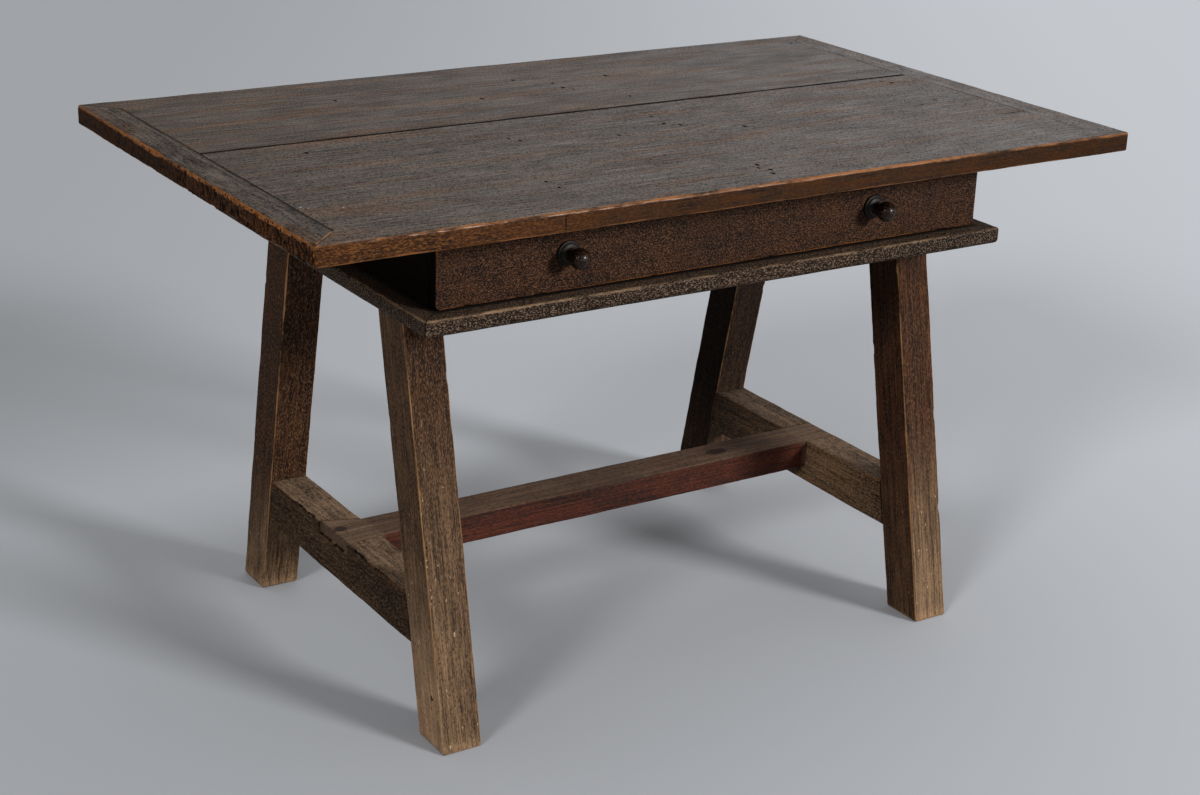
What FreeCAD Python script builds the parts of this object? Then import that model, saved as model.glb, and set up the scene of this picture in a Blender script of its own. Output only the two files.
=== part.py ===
import FreeCAD, Part
import os
import re

import Sketcher

# Trestle table with one drawer, in millimetres. +X runs along the top, the drawer opens towards -Y,
# +Z is up, and the origin is on the floor under the middle of the top.

SIZES = {
    # Top: two boards between mitred end battens
    "table_length": 1325.0,
    "table_width": 800.0,
    "table_height": 770.0,
    "top_thickness": 28.0,
    "top_arris_radius": 2.5,
    "end_batten_width": 50.0,
    "end_tongue_length": 20.0,
    "end_tongue_thickness": 9.0,
    "end_tongue_setback": 12.0,
    "seam_offset": 58.0,
    "seam_gap": 0.6,
    "seam_tongue_width": 30.0,
    "seam_tongue_thickness": 8.0,
    # Play left around every tongue, tenon, tail and dowel
    "joint_clearance": 0.1,
    # Drawer case
    "case_length": 903.0,
    "case_depth": 618.0,
    "case_height": 111.5,
    "end_panel_thickness": 22.0,
    "back_panel_thickness": 20.0,
    "back_tongue_length": 8.0,
    "back_tongue_thickness": 8.0,
    "top_rail_thickness": 20.0,
    "top_rail_width": 50.0,
    "rail_tail_length": 14.0,
    "rail_tail_root": 30.0,
    "rail_tail_tip": 40.0,
    "dowel_radius": 4.5,
    "dowel_end_margin": 129.0,
    "dowel_back_margin": 151.5,
    "dowel_in_panel": 20.0,
    "dowel_in_base": 15.0,
    "dowel_in_top": 12.0,
    # Base frame with rounded outer edges
    "base_thickness": 25.0,
    "base_rail_width": 125.0,
    "base_overhang_end": 30.0,
    "base_overhang_front": 26.5,
    "base_top_radius": 3.0,
    "base_bottom_radius": 9.0,
    "corner_key_side": 50.0,
    "corner_key_thickness": 6.0,
    # Head battens over the base frame's ends
    "head_batten_height": 30.0,
    "head_batten_lip": 4.0,
    "head_batten_cheek": 7.5,
    # Legs, splayed to the front and back; the splay ratio is the run for each unit of rise
    "leg_width": 60.0,
    "leg_depth": 71.0,
    "leg_head_setback": 126.8,
    "leg_splay_ratio": 0.207,
    "leg_inset": 2.5,
    "leg_tenon_shoulder": 5.0,
    "leg_tenon_setback": 12.0,
    "leg_wedge_length": 30.0,
    "leg_wedge_thickness": 4.0,
    "leg_wedge_tip": 1.2,
    # Stretchers
    "stretcher_bottom": 129.0,
    "stretcher_height": 70.0,
    "stretcher_setback": 0.5,
    "stretcher_tenon_length": 45.0,
    "stretcher_tenon_thickness": 22.0,
    "stretcher_tenon_shoulder": 10.0,
    "centre_width": 67.0,
    "centre_height": 45.0,
    "lap_depth": 16.0,
    "lap_recess": 2.0,
    "lap_flare_front": 7.0,
    "lap_flare_back": 22.0,
    # Drawer
    "drawer_front_thickness": 22.0,
    "drawer_front_gap": 2.0,
    "drawer_front_corner": 7.0,
    "drawer_front_lap": 7.0,
    "drawer_stop_gap": 0.3,
    "drawer_side_thickness": 14.0,
    "drawer_side_clearance": 1.0,
    "drawer_run_clearance": 0.3,
    "drawer_kicker_clearance": 1.5,
    "drawer_back_thickness": 14.0,
    "drawer_back_drop": 8.0,
    "drawer_back_gap": 46.0,
    "drawer_bottom_thickness": 8.0,
    "drawer_bottom_rise": 8.0,
    "drawer_groove_depth": 6.0,
    "dovetail_pin_tip": 5.0,
    "dovetail_pin_root": 12.0,
    "nail_radius": 1.2,
    "nail_length": 24.0,
    "nail_head_radius": 3.0,
    "nail_head_thickness": 1.2,
    "nail_end_margin": 70.0,
    # Turned knobs
    "knob_inset": 195.5,
    "knob_drop": 3.0,
    "knob_tenon_radius": 6.0,
    "knob_flange_radius": 17.5,
    "knob_flange_thickness": 4.0,
    "knob_collar_radius": 14.0,
    "knob_collar_thickness": 5.0,
    "knob_neck_radius": 7.0,
    "knob_head_radius": 14.5,
    "knob_reach": 29.0,
    "knob_tip_radius": 2.2,
    "knob_tip_height": 1.0,
    "knob_wedge_length": 12.0,
    "knob_wedge_thickness": 2.0,
    "knob_wedge_tip": 0.6,
    "knob_wedge_margin": 0.5,
}

# Places that follow from the sizes, as formulas
HALF_LENGTH = "(table_length / 2)"
HALF_WIDTH = "(table_width / 2)"
UNDERSIDE = "(table_height - top_thickness)"
TOP_MIDDLE = "(table_height - top_thickness / 2)"
BOARD_END = f"({HALF_LENGTH} - end_batten_width)"
BASE_TOP = f"({UNDERSIDE} - case_height)"
BASE_BOTTOM = f"({BASE_TOP} - base_thickness)"
BASE_MIDDLE = f"({BASE_TOP} - base_thickness / 2)"
CASE_END = "(case_length / 2)"
CASE_FACE = "(case_depth / 2)"
BASE_END = f"({CASE_END} + base_overhang_end)"
BASE_FACE = f"({CASE_FACE} + base_overhang_front)"
PANEL_INNER = f"({CASE_END} - end_panel_thickness)"
PANEL_MIDDLE = f"({CASE_END} - end_panel_thickness / 2)"
FRONT_BACK_FACE = f"(drawer_front_thickness - {CASE_FACE})"
PANEL_FRONT = f"({FRONT_BACK_FACE} + drawer_stop_gap)"
BACK_INNER = f"({CASE_FACE} - back_panel_thickness)"
BACK_MIDDLE = f"({CASE_FACE} - back_panel_thickness / 2)"
RAIL_BOTTOM = f"({UNDERSIDE} - top_rail_thickness)"
RAIL_BACK = f"({PANEL_FRONT} + top_rail_width)"
RAIL_MIDDLE = f"({PANEL_FRONT} + top_rail_width / 2)"
DOWEL_END_SPREAD = f"({CASE_FACE} - dowel_end_margin)"
DOWEL_BACK_SPREAD = f"({CASE_END} - dowel_back_margin)"
LEG_OUTER = f"({CASE_END} - leg_inset)"
LEG_INNER = f"({LEG_OUTER} - leg_width)"
LEG_MIDDLE = f"({LEG_OUTER} - leg_width / 2)"
BATTEN_INNER = f"({LEG_INNER} - head_batten_lip)"
BATTEN_TOP = f"({BASE_TOP} + head_batten_height)"
LEG_FOOT_REACH = f"({BASE_FACE} - leg_head_setback + leg_splay_ratio * {BASE_BOTTOM})"
LEG_TENON_INNER = f"({LEG_INNER} + leg_tenon_shoulder)"
LEG_TENON_OUTER = f"({PANEL_INNER} - head_batten_cheek)"
STRETCHER_TOP = "(stretcher_bottom + stretcher_height)"
STRETCHER_INNER = f"({LEG_INNER} + stretcher_setback)"
STRETCHER_OUTER = f"({LEG_OUTER} - stretcher_setback)"
LAP_BOTTOM = f"({STRETCHER_TOP} - lap_depth)"
SIDE_OUTER = f"({BATTEN_INNER} - drawer_side_clearance)"
SIDE_INNER = f"({SIDE_OUTER} - drawer_side_thickness)"
SIDE_BOTTOM = f"({BASE_TOP} + drawer_run_clearance)"
SIDE_TOP = f"({RAIL_BOTTOM} - drawer_kicker_clearance)"
TAIL_TIP = f"(drawer_front_lap - {CASE_FACE})"
DRAWER_END = f"({BACK_INNER} - drawer_back_gap)"
DRAWER_BACK_FACE = f"({DRAWER_END} - drawer_back_thickness)"
BOTTOM_LOW = f"({SIDE_BOTTOM} + drawer_bottom_rise)"
BOTTOM_HIGH = f"({BOTTOM_LOW} + drawer_bottom_thickness)"
DRAWER_BACK_TOP = f"({SIDE_TOP} - drawer_back_drop)"
FRONT_LOW = f"({BASE_TOP} + drawer_front_gap)"
FRONT_HIGH = f"({UNDERSIDE} - drawer_front_gap)"
NAIL_SPREAD = f"({SIDE_INNER} - nail_end_margin)"
KNOB_SPREAD = f"({CASE_END} - knob_inset)"
KNOB_HEIGHT = f"(({FRONT_LOW} + {FRONT_HIGH}) / 2 - knob_drop)"
KNOB_CENTRE = f"(-1 * {CASE_FACE} - knob_reach)"

SIDES = (("left", -1), ("right", 1))
ENDS = (("front", -1), ("back", 1))
DOVETAILS = 3
NAILS = 4
DOWEL_STEPS = (-1, 0, 1)
KNOB_TURN = FreeCAD.Rotation(FreeCAD.Vector(1, 0, 0), 90)
SAME = 1e-4

doc = FreeCAD.newDocument("TrestleTable")
sheet = doc.addObject("Spreadsheet::Sheet", "Sizes")
for row, (alias, size) in enumerate(SIZES.items(), 1):
    sheet.set(f"A{row}", alias)
    sheet.set(f"B{row}", str(size))
    sheet.setAlias(f"B{row}", alias)
doc.recompute()

nodes = []


# Helpers: formulas

def bound(formula):
    """The formula with each size read from the sheet."""
    return re.sub(r"[a-z][a-z_]+", lambda word: f"Sizes.{word.group()}", formula)


def times(sign, formula):
    """The formula on the side that the sign gives."""
    return f"({sign} * {formula})"


def plus(formula, extra="joint_clearance"):
    return f"({formula} + {extra})"


def minus(formula, extra="joint_clearance"):
    return f"({formula} - {extra})"


def stretch(sign, low, high):
    """Start and end, along +X, of a stretch measured outwards from the middle."""
    if sign > 0:
        return low, high
    return times(sign, high), times(sign, low)


def rectangle(low, high):
    """Corners of a rectangle between two corner points."""
    return [low, (high[0], low[1]), high, (low[0], high[1])]


def leg_outer_at(level):
    """Distance from the middle to the leg's outer face at a height."""
    return f"({LEG_FOOT_REACH} - leg_splay_ratio * {level})"


def leg_inner_at(level):
    return f"({leg_outer_at(level)} - leg_depth)"


# Helpers: solids

def new_body(label):
    body = doc.addObject("PartDesign::Body", label)
    body.Label = label
    return body


def new_node(label):
    body = new_body(label)
    nodes.append(body)
    return body


def new_sketch(body, plane, start):
    """A sketch on one of the body's origin planes, moved along the plane's normal."""
    planes = {feature.Role: feature for feature in body.Origin.OriginFeatures}
    sketch = body.newObject("Sketcher::SketchObject", f"{body.Label}_sketch")
    sketch.AttachmentSupport = [(planes[f"{plane}_Plane"], "")]
    sketch.MapMode = "FlatFace"
    sketch.setExpression("AttachmentOffset.Base.z", bound(start))
    return sketch


def place_point(sketch, geometry, point, place):
    """Holds a sketch point at a place given by two formulas."""
    for direction, formula in zip(("DistanceX", "DistanceY"), place):
        number = sketch.addConstraint(Sketcher.Constraint(direction, -1, 1, geometry, point, 1.0))
        sketch.setExpression(f"Constraints[{number}]", bound(formula))


def polygon(body, plane, start, corners):
    sketch = new_sketch(body, plane, start)
    count = len(corners)
    for number in range(count):
        here = FreeCAD.Vector(number + 1, number * number, 0)
        there = FreeCAD.Vector((number + 1) % count + 1, ((number + 1) % count) ** 2, 0)
        sketch.addGeometry(Part.LineSegment(here, there))
    for number in range(count):
        sketch.addConstraint(Sketcher.Constraint("Coincident", number, 2, (number + 1) % count, 1))
    for number, corner in enumerate(corners):
        place_point(sketch, number, 1, corner)
    return sketch


def circles(body, plane, start, centres, radius):
    sketch = new_sketch(body, plane, start)
    for number, centre in enumerate(centres):
        middle = FreeCAD.Vector(number, 1, 0)
        sketch.addGeometry(Part.Circle(middle, FreeCAD.Vector(0, 0, 1), 1))
        place_point(sketch, number, 3, centre)
        size = sketch.addConstraint(Sketcher.Constraint("Radius", number, 1.0))
        sketch.setExpression(f"Constraints[{size}]", bound(radius))
    return sketch


def add(body, plane, corners, start, end):
    """Adds a straight piece of that outline, between two distances along the plane's normal."""
    pad = body.newObject("PartDesign::Pad", f"{body.Label}_pad")
    pad.Profile = polygon(body, plane, start, corners)
    pad.setExpression("Length", bound(f"{end} - {start}"))
    doc.recompute()


def take(body, sketch, start, end):
    """Cuts along the sketch plane's normal and makes sure that wood came away."""
    before = body.Shape.Volume
    pocket = body.newObject("PartDesign::Pocket", f"{body.Label}_pocket")
    pocket.Profile = sketch
    pocket.Reversed = True
    pocket.setExpression("Length", bound(f"{end} - {start}"))
    doc.recompute()
    if not body.Shape.Volume < before:
        raise RuntimeError(f"{body.Label}: a cut took nothing away")


def cut(body, plane, corners, start, end):
    take(body, polygon(body, plane, start, corners), start, end)


def drill(body, plane, centres, radius, start, end):
    take(body, circles(body, plane, start, centres, radius), start, end)


def round_edges(body, radius, *sides):
    """Rounds the edges that lie at the named sides of the body's box, such as YMin and ZMax."""
    box = body.Shape.BoundBox
    names = []
    for number, edge in enumerate(body.Shape.Edges, 1):
        limits = [(getattr(edge.BoundBox, f"{side[0]}{end}"), getattr(box, side))
                  for side in sides for end in ("Min", "Max")]
        if all(abs(place - limit) < SAME for place, limit in limits):
            names.append(f"Edge{number}")
    base = body.Tip
    fillet = body.newObject("PartDesign::Fillet", f"{body.Label}_round")
    fillet.Base = (base, names)
    fillet.setExpression("Radius", bound(radius))
    doc.recompute()


def round_outer_edges(body, face, top_radius, bottom_radius):
    """Rounds the upper and the lower edge of the face at one side of the body's box."""
    round_edges(body, top_radius, face, "ZMax")
    round_edges(body, bottom_radius, face, "ZMin")


def set_sizes(piece, **formulas):
    for name, formula in formulas.items():
        piece.setExpression(name, bound(formula))


def set_place(piece, x, y, z):
    for axis, formula in zip("xyz", (x, y, z)):
        piece.setExpression(f"Placement.Base.{axis}", bound(formula))


def group(label, members):
    """One node that holds several separate solids."""
    node = doc.addObject("Part::Compound", label)
    node.Label = label
    node.Links = members
    nodes.append(node)


# Top

def dowel_marks_end(side, steps=DOWEL_STEPS):
    """Dowel centres along one end panel, at steps counted from the middle towards the back."""
    return [(times(side, PANEL_MIDDLE), times(step, DOWEL_END_SPREAD)) for step in steps]


def dowel_marks_ends(steps=DOWEL_STEPS):
    return [mark for _, side in SIDES for mark in dowel_marks_end(side, steps)]


def dowel_marks_back():
    return [(times(step, DOWEL_BACK_SPREAD), BACK_MIDDLE) for step in DOWEL_STEPS]


def make_top_board(name, sign, seam_edge, dowels):
    """A board with its mitred outer corners, end tongues, seam groove and dowel holes."""
    outer = times(sign, HALF_WIDTH)
    mitre = times(sign, minus(HALF_WIDTH, "end_batten_width"))
    tongue_edge = times(sign, minus(minus(HALF_WIDTH, "end_batten_width"), "end_tongue_setback"))
    tongue_low = minus(TOP_MIDDLE, "end_tongue_thickness / 2")
    tongue_high = plus(TOP_MIDDLE, "end_tongue_thickness / 2")
    tongue_end = plus(BOARD_END, "end_tongue_length")
    groove_depth = plus("(seam_tongue_width - seam_gap) / 2")
    groove_edge = plus(seam_edge, times(sign, groove_depth))
    groove_half = plus("seam_tongue_thickness / 2")

    board = new_node(f"top_board_{name}")
    outline = [
        (times(-1, HALF_LENGTH), outer), (HALF_LENGTH, outer), (BOARD_END, mitre),
        (BOARD_END, seam_edge), (times(-1, BOARD_END), seam_edge), (times(-1, BOARD_END), mitre),
    ]
    add(board, "XY", outline, UNDERSIDE, "table_height")
    for _, side in SIDES:
        tongue = rectangle((times(side, BOARD_END), tongue_edge), (times(side, tongue_end), seam_edge))
        add(board, "XY", tongue, tongue_low, tongue_high)
    groove = rectangle((times(-1, HALF_LENGTH), groove_edge), (HALF_LENGTH, seam_edge))
    cut(board, "XY", groove, minus(TOP_MIDDLE, groove_half), plus(TOP_MIDDLE, groove_half))
    drill(board, "XY", dowels, plus("dowel_radius"), UNDERSIDE, plus(UNDERSIDE, plus("dowel_in_top")))
    round_outer_edges(board, "YMin" if sign < 0 else "YMax", "top_arris_radius", "top_arris_radius")


def make_top():
    front_dowels = dowel_marks_ends([step for step in DOWEL_STEPS if step <= 0])
    back_dowels = dowel_marks_ends([step for step in DOWEL_STEPS if step > 0]) + dowel_marks_back()
    make_top_board("front", -1, "(seam_offset - seam_gap / 2)", front_dowels)
    make_top_board("back", 1, "(seam_offset + seam_gap / 2)", back_dowels)

    tongue = new_node("top_seam_tongue")
    tongue_plan = rectangle((times(-1, BOARD_END), "seam_offset - seam_tongue_width / 2"),
                            (BOARD_END, "seam_offset + seam_tongue_width / 2"))
    half = "seam_tongue_thickness / 2"
    add(tongue, "XY", tongue_plan, minus(TOP_MIDDLE, half), plus(TOP_MIDDLE, half))

    groove_deep = plus(plus(BOARD_END, "end_tongue_length"))
    groove_edge = plus(minus(minus(HALF_WIDTH, "end_batten_width"), "end_tongue_setback"))
    groove_half = plus("end_tongue_thickness / 2")
    for name, sign in SIDES:
        batten = new_node(f"end_batten_{name}")
        mitre = minus(HALF_WIDTH, "end_batten_width")
        outline = [
            (times(sign, HALF_LENGTH), times(-1, HALF_WIDTH)), (times(sign, BOARD_END), times(-1, mitre)),
            (times(sign, BOARD_END), mitre), (times(sign, HALF_LENGTH), HALF_WIDTH),
        ]
        add(batten, "XY", outline, UNDERSIDE, "table_height")
        groove = rectangle((times(sign, BOARD_END), times(-1, groove_edge)),
                           (times(sign, groove_deep), groove_edge))
        cut(batten, "XY", groove, minus(TOP_MIDDLE, groove_half), plus(TOP_MIDDLE, groove_half))
        round_outer_edges(batten, "XMin" if sign < 0 else "XMax", "top_arris_radius", "top_arris_radius")


# Base frame

def key_outline(x_sign, y_sign, play="0"):
    """Plan of the key across one mitre of the base frame."""
    x = times(x_sign, minus(BASE_END, "base_rail_width / 2"))
    y = times(y_sign, minus(BASE_FACE, "base_rail_width / 2"))
    half = plus("corner_key_side / 2", play)
    return rectangle((minus(x, half), minus(y, half)), (plus(x, half), plus(y, half)))


def cut_key_slots(rail, corners):
    half = plus("corner_key_thickness / 2")
    for x_sign, y_sign in corners:
        plan = key_outline(x_sign, y_sign, "joint_clearance")
        cut(rail, "XY", plan, minus(BASE_MIDDLE, half), plus(BASE_MIDDLE, half))


def leg_tenon_outline(sign, low, high, play="0"):
    """The leg tenon's side view between two heights."""
    def outer(level):
        return times(sign, plus(minus(leg_outer_at(level), "leg_tenon_setback"), play))

    def inner(level):
        return times(sign, minus(plus(leg_inner_at(level), "leg_tenon_setback"), play))

    return [(outer(low), low), (outer(high), high), (inner(high), high), (inner(low), low)]


def cut_leg_mortises(piece, side, low, high):
    start, end = stretch(side, minus(LEG_TENON_INNER), plus(LEG_TENON_OUTER))
    for _, sign in ENDS:
        cut(piece, "YZ", leg_tenon_outline(sign, low, high, "joint_clearance"), start, end)


def make_base():
    inner_end = minus(BASE_END, "base_rail_width")
    inner_face = minus(BASE_FACE, "base_rail_width")
    dowel_floor = minus(BASE_TOP, plus("dowel_in_base"))
    for name, sign in ENDS:
        rail = new_node(f"base_rail_{name}")
        outline = [
            (times(-1, BASE_END), times(sign, BASE_FACE)), (BASE_END, times(sign, BASE_FACE)),
            (inner_end, times(sign, inner_face)), (times(-1, inner_end), times(sign, inner_face)),
        ]
        add(rail, "XY", outline, BASE_BOTTOM, BASE_TOP)
        cut_key_slots(rail, [(side, sign) for _, side in SIDES])
        if name == "back":
            drill(rail, "XY", dowel_marks_back(), plus("dowel_radius"), dowel_floor, BASE_TOP)
        round_outer_edges(rail, "YMin" if sign < 0 else "YMax", "base_top_radius", "base_bottom_radius")
    for name, side in SIDES:
        rail = new_node(f"base_rail_{name}")
        outline = [
            (times(side, BASE_END), times(-1, BASE_FACE)), (times(side, inner_end), times(-1, inner_face)),
            (times(side, inner_end), inner_face), (times(side, BASE_END), BASE_FACE),
        ]
        add(rail, "XY", outline, BASE_BOTTOM, BASE_TOP)
        cut_key_slots(rail, [(side, sign) for _, sign in ENDS])
        cut_leg_mortises(rail, side, BASE_BOTTOM, BASE_TOP)
        drill(rail, "XY", dowel_marks_end(side), plus("dowel_radius"), dowel_floor, BASE_TOP)
        round_outer_edges(rail, "XMin" if side < 0 else "XMax", "base_top_radius", "base_bottom_radius")
    keys = []
    half = "corner_key_thickness / 2"
    for end_name, sign in ENDS:
        for side_name, side in SIDES:
            key = new_body(f"corner_key_{end_name}_{side_name}")
            add(key, "XY", key_outline(side, sign), minus(BASE_MIDDLE, half), plus(BASE_MIDDLE, half))
            keys.append(key)
    group("base_corner_keys", keys)


# Drawer case

def rail_tail_outline(side, play="0"):
    """Plan of the front rail's dovetail in one end panel."""
    root = plus("rail_tail_root / 2", play)
    tip = plus("rail_tail_tip / 2", play)
    end = plus(plus(PANEL_INNER, "rail_tail_length"), play)
    return [
        (times(side, PANEL_INNER), minus(RAIL_MIDDLE, root)), (times(side, end), minus(RAIL_MIDDLE, tip)),
        (times(side, end), plus(RAIL_MIDDLE, tip)), (times(side, PANEL_INNER), plus(RAIL_MIDDLE, root)),
    ]


def drill_panel(panel, marks):
    """Dowel holes in a case panel's lower and upper edges."""
    depth = plus("dowel_in_panel")
    drill(panel, "XY", marks, plus("dowel_radius"), BASE_TOP, plus(BASE_TOP, depth))
    drill(panel, "XY", marks, plus("dowel_radius"), minus(UNDERSIDE, depth), UNDERSIDE)


def make_case():
    tongue_half = "back_tongue_thickness / 2"
    for name, side in SIDES:
        panel = new_node(f"case_end_panel_{name}")
        plan = rectangle((times(side, PANEL_INNER), PANEL_FRONT), (times(side, CASE_END), CASE_FACE))
        add(panel, "XY", plan, BASE_TOP, UNDERSIDE)
        groove = rectangle((times(side, PANEL_INNER), minus(BACK_MIDDLE, plus(tongue_half))),
                           (times(side, plus(PANEL_INNER, plus("back_tongue_length"))),
                            plus(BACK_MIDDLE, plus(tongue_half))))
        cut(panel, "XY", groove, BASE_TOP, UNDERSIDE)
        cut(panel, "XY", rail_tail_outline(side, "joint_clearance"), RAIL_BOTTOM, UNDERSIDE)
        drill_panel(panel, dowel_marks_end(side))

    back = new_node("case_back_panel")
    back_plan = rectangle((times(-1, PANEL_INNER), BACK_INNER), (PANEL_INNER, CASE_FACE))
    add(back, "XY", back_plan, BASE_TOP, UNDERSIDE)
    tongue_end = plus(PANEL_INNER, "back_tongue_length")
    for _, side in SIDES:
        tongue = rectangle((times(side, PANEL_INNER), minus(BACK_MIDDLE, tongue_half)),
                           (times(side, tongue_end), plus(BACK_MIDDLE, tongue_half)))
        add(back, "XY", tongue, BASE_TOP, UNDERSIDE)
    drill_panel(back, dowel_marks_back())

    rail = new_node("case_front_rail")
    rail_plan = rectangle((times(-1, PANEL_INNER), PANEL_FRONT), (PANEL_INNER, RAIL_BACK))
    add(rail, "XY", rail_plan, RAIL_BOTTOM, UNDERSIDE)
    for _, side in SIDES:
        add(rail, "XY", rail_tail_outline(side), RAIL_BOTTOM, UNDERSIDE)

    for name, side in SIDES:
        batten = new_node(f"head_batten_{name}")
        plan = rectangle((times(side, BATTEN_INNER), PANEL_FRONT), (times(side, PANEL_INNER), BACK_INNER))
        add(batten, "XY", plan, BASE_TOP, BATTEN_TOP)
        cut_leg_mortises(batten, side, BASE_TOP, BATTEN_TOP)

        kicker = new_node(f"drawer_kicker_{name}")
        plan = rectangle((times(side, SIDE_INNER), RAIL_BACK), (times(side, PANEL_INNER), BACK_INNER))
        add(kicker, "XY", plan, RAIL_BOTTOM, UNDERSIDE)

    marks = dowel_marks_ends() + dowel_marks_back()
    make_dowels("base_dowels", marks, BASE_TOP, "dowel_in_base", "dowel_in_panel")
    make_dowels("top_dowels", marks, UNDERSIDE, "dowel_in_panel", "dowel_in_top")


def make_dowels(label, marks, joint_level, depth_below, depth_above):
    pins = []
    for x, y in marks:
        pin = doc.addObject("Part::Cylinder", f"{label}_pin")
        set_sizes(pin, Radius="dowel_radius", Height=f"{depth_below} + {depth_above}")
        set_place(pin, x, y, minus(joint_level, depth_below))
        pins.append(pin)
    group(label, pins)


# Trestles

def wedge_outline(sign):
    """Side view of the wedge in a leg's tenon, along the tenon's own slope."""
    def middle(level):
        return times(sign, f"({leg_outer_at(level)} - leg_depth / 2)")

    low = minus(BATTEN_TOP, "leg_wedge_length")
    return [
        (minus(middle(BATTEN_TOP), "leg_wedge_thickness / 2"), BATTEN_TOP),
        (plus(middle(BATTEN_TOP), "leg_wedge_thickness / 2"), BATTEN_TOP),
        (plus(middle(low), "leg_wedge_tip / 2"), low),
        (minus(middle(low), "leg_wedge_tip / 2"), low),
    ]


def tenon_levels(play="0"):
    """Lowest and highest level of the side stretchers' tenons."""
    low = minus(plus("stretcher_bottom", "stretcher_tenon_shoulder"), play)
    high = plus(minus(STRETCHER_TOP, "stretcher_tenon_shoulder"), play)
    return low, high


def make_legs():
    half = plus("stretcher_tenon_thickness / 2")
    wedges = []
    for end_name, sign in ENDS:
        for side_name, side in SIDES:
            leg = new_node(f"leg_{end_name}_{side_name}")
            outline = [
                (times(sign, leg_outer_at("0")), "0"),
                (times(sign, leg_outer_at(BASE_BOTTOM)), BASE_BOTTOM),
                (times(sign, leg_inner_at(BASE_BOTTOM)), BASE_BOTTOM),
                (times(sign, leg_inner_at("0")), "0"),
            ]
            add(leg, "YZ", outline, *stretch(side, LEG_INNER, LEG_OUTER))
            tenon_span = stretch(side, LEG_TENON_INNER, LEG_TENON_OUTER)
            add(leg, "YZ", leg_tenon_outline(sign, BASE_BOTTOM, BATTEN_TOP), *tenon_span)
            low, high = tenon_levels("joint_clearance")
            depth = plus("stretcher_tenon_length")
            mortise = [
                (times(sign, leg_inner_at(low)), low), (times(sign, plus(leg_inner_at(low), depth)), low),
                (times(sign, plus(leg_inner_at(high), depth)), high), (times(sign, leg_inner_at(high)), high),
            ]
            cut(leg, "YZ", mortise, *stretch(side, minus(LEG_MIDDLE, half), plus(LEG_MIDDLE, half)))
            cut(leg, "YZ", wedge_outline(sign), *tenon_span)

            wedge = new_body(f"leg_wedge_{end_name}_{side_name}")
            add(wedge, "YZ", wedge_outline(sign), *tenon_span)
            wedges.append(wedge)
    group("leg_wedges", wedges)


def lap_outline(side, flare_front, flare_back, recess, play="0"):
    """Plan of the centre stretcher's lap across one side stretcher."""
    across = f"({STRETCHER_OUTER} - {STRETCHER_INNER})"
    share = f"(1 - {recess} / {across})"
    end = times(side, minus(STRETCHER_OUTER, recess))
    root = times(side, STRETCHER_INNER)
    half = plus("centre_width / 2", play)
    front_end = f"(-1 * {half} - {flare_front} * {share})"
    back_end = f"({half} + {flare_back} * {share})"
    return [(root, times(-1, half)), (end, front_end), (end, back_end), (root, half)]


def make_stretchers():
    half = "stretcher_tenon_thickness / 2"
    flares = {"left": ("lap_flare_front", "lap_flare_back"), "right": ("0", "0")}
    low, high = tenon_levels()
    for name, side in SIDES:
        stretcher = new_node(f"side_stretcher_{name}")
        outline = [(times(sign, leg_inner_at(level)), level)
                   for level, signs in (("stretcher_bottom", (-1, 1)), (STRETCHER_TOP, (1, -1)))
                   for sign in signs]
        add(stretcher, "YZ", outline, *stretch(side, STRETCHER_INNER, STRETCHER_OUTER))
        tenon = [(times(sign, plus(leg_inner_at(level), "stretcher_tenon_length")), level)
                 for level, signs in ((low, (-1, 1)), (high, (1, -1)))
                 for sign in signs]
        add(stretcher, "YZ", tenon, *stretch(side, minus(LEG_MIDDLE, half), plus(LEG_MIDDLE, half)))
        socket = lap_outline(side, *flares[name], "0", "joint_clearance")
        cut(stretcher, "XY", socket, LAP_BOTTOM, STRETCHER_TOP)

    centre = new_node("centre_stretcher")
    half_width = "(centre_width / 2)"
    plan = rectangle((times(-1, STRETCHER_INNER), times(-1, half_width)), (STRETCHER_INNER, half_width))
    add(centre, "XY", plan, minus(STRETCHER_TOP, "centre_height"), STRETCHER_TOP)
    for name, side in SIDES:
        add(centre, "XY", lap_outline(side, *flares[name], "lap_recess"), LAP_BOTTOM, STRETCHER_TOP)


# Drawer

def tail_outlines(low, high, root, tip, play="0"):
    """Side views of the tails on one end of a drawer side, from the lowest up."""
    pitch = f"(({high} - {low}) / {DOVETAILS})"
    root_half = plus(f"(({pitch} - dovetail_pin_root) / 2)", play)
    tip_half = plus(f"(({pitch} - dovetail_pin_tip) / 2)", play)
    tails = []
    for number in range(DOVETAILS):
        middle = f"({low} + {pitch} * {number + 0.5})"
        tails.append([(root, minus(middle, root_half)), (tip, minus(middle, tip_half)),
                      (tip, plus(middle, tip_half)), (root, plus(middle, root_half))])
    return tails


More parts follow.
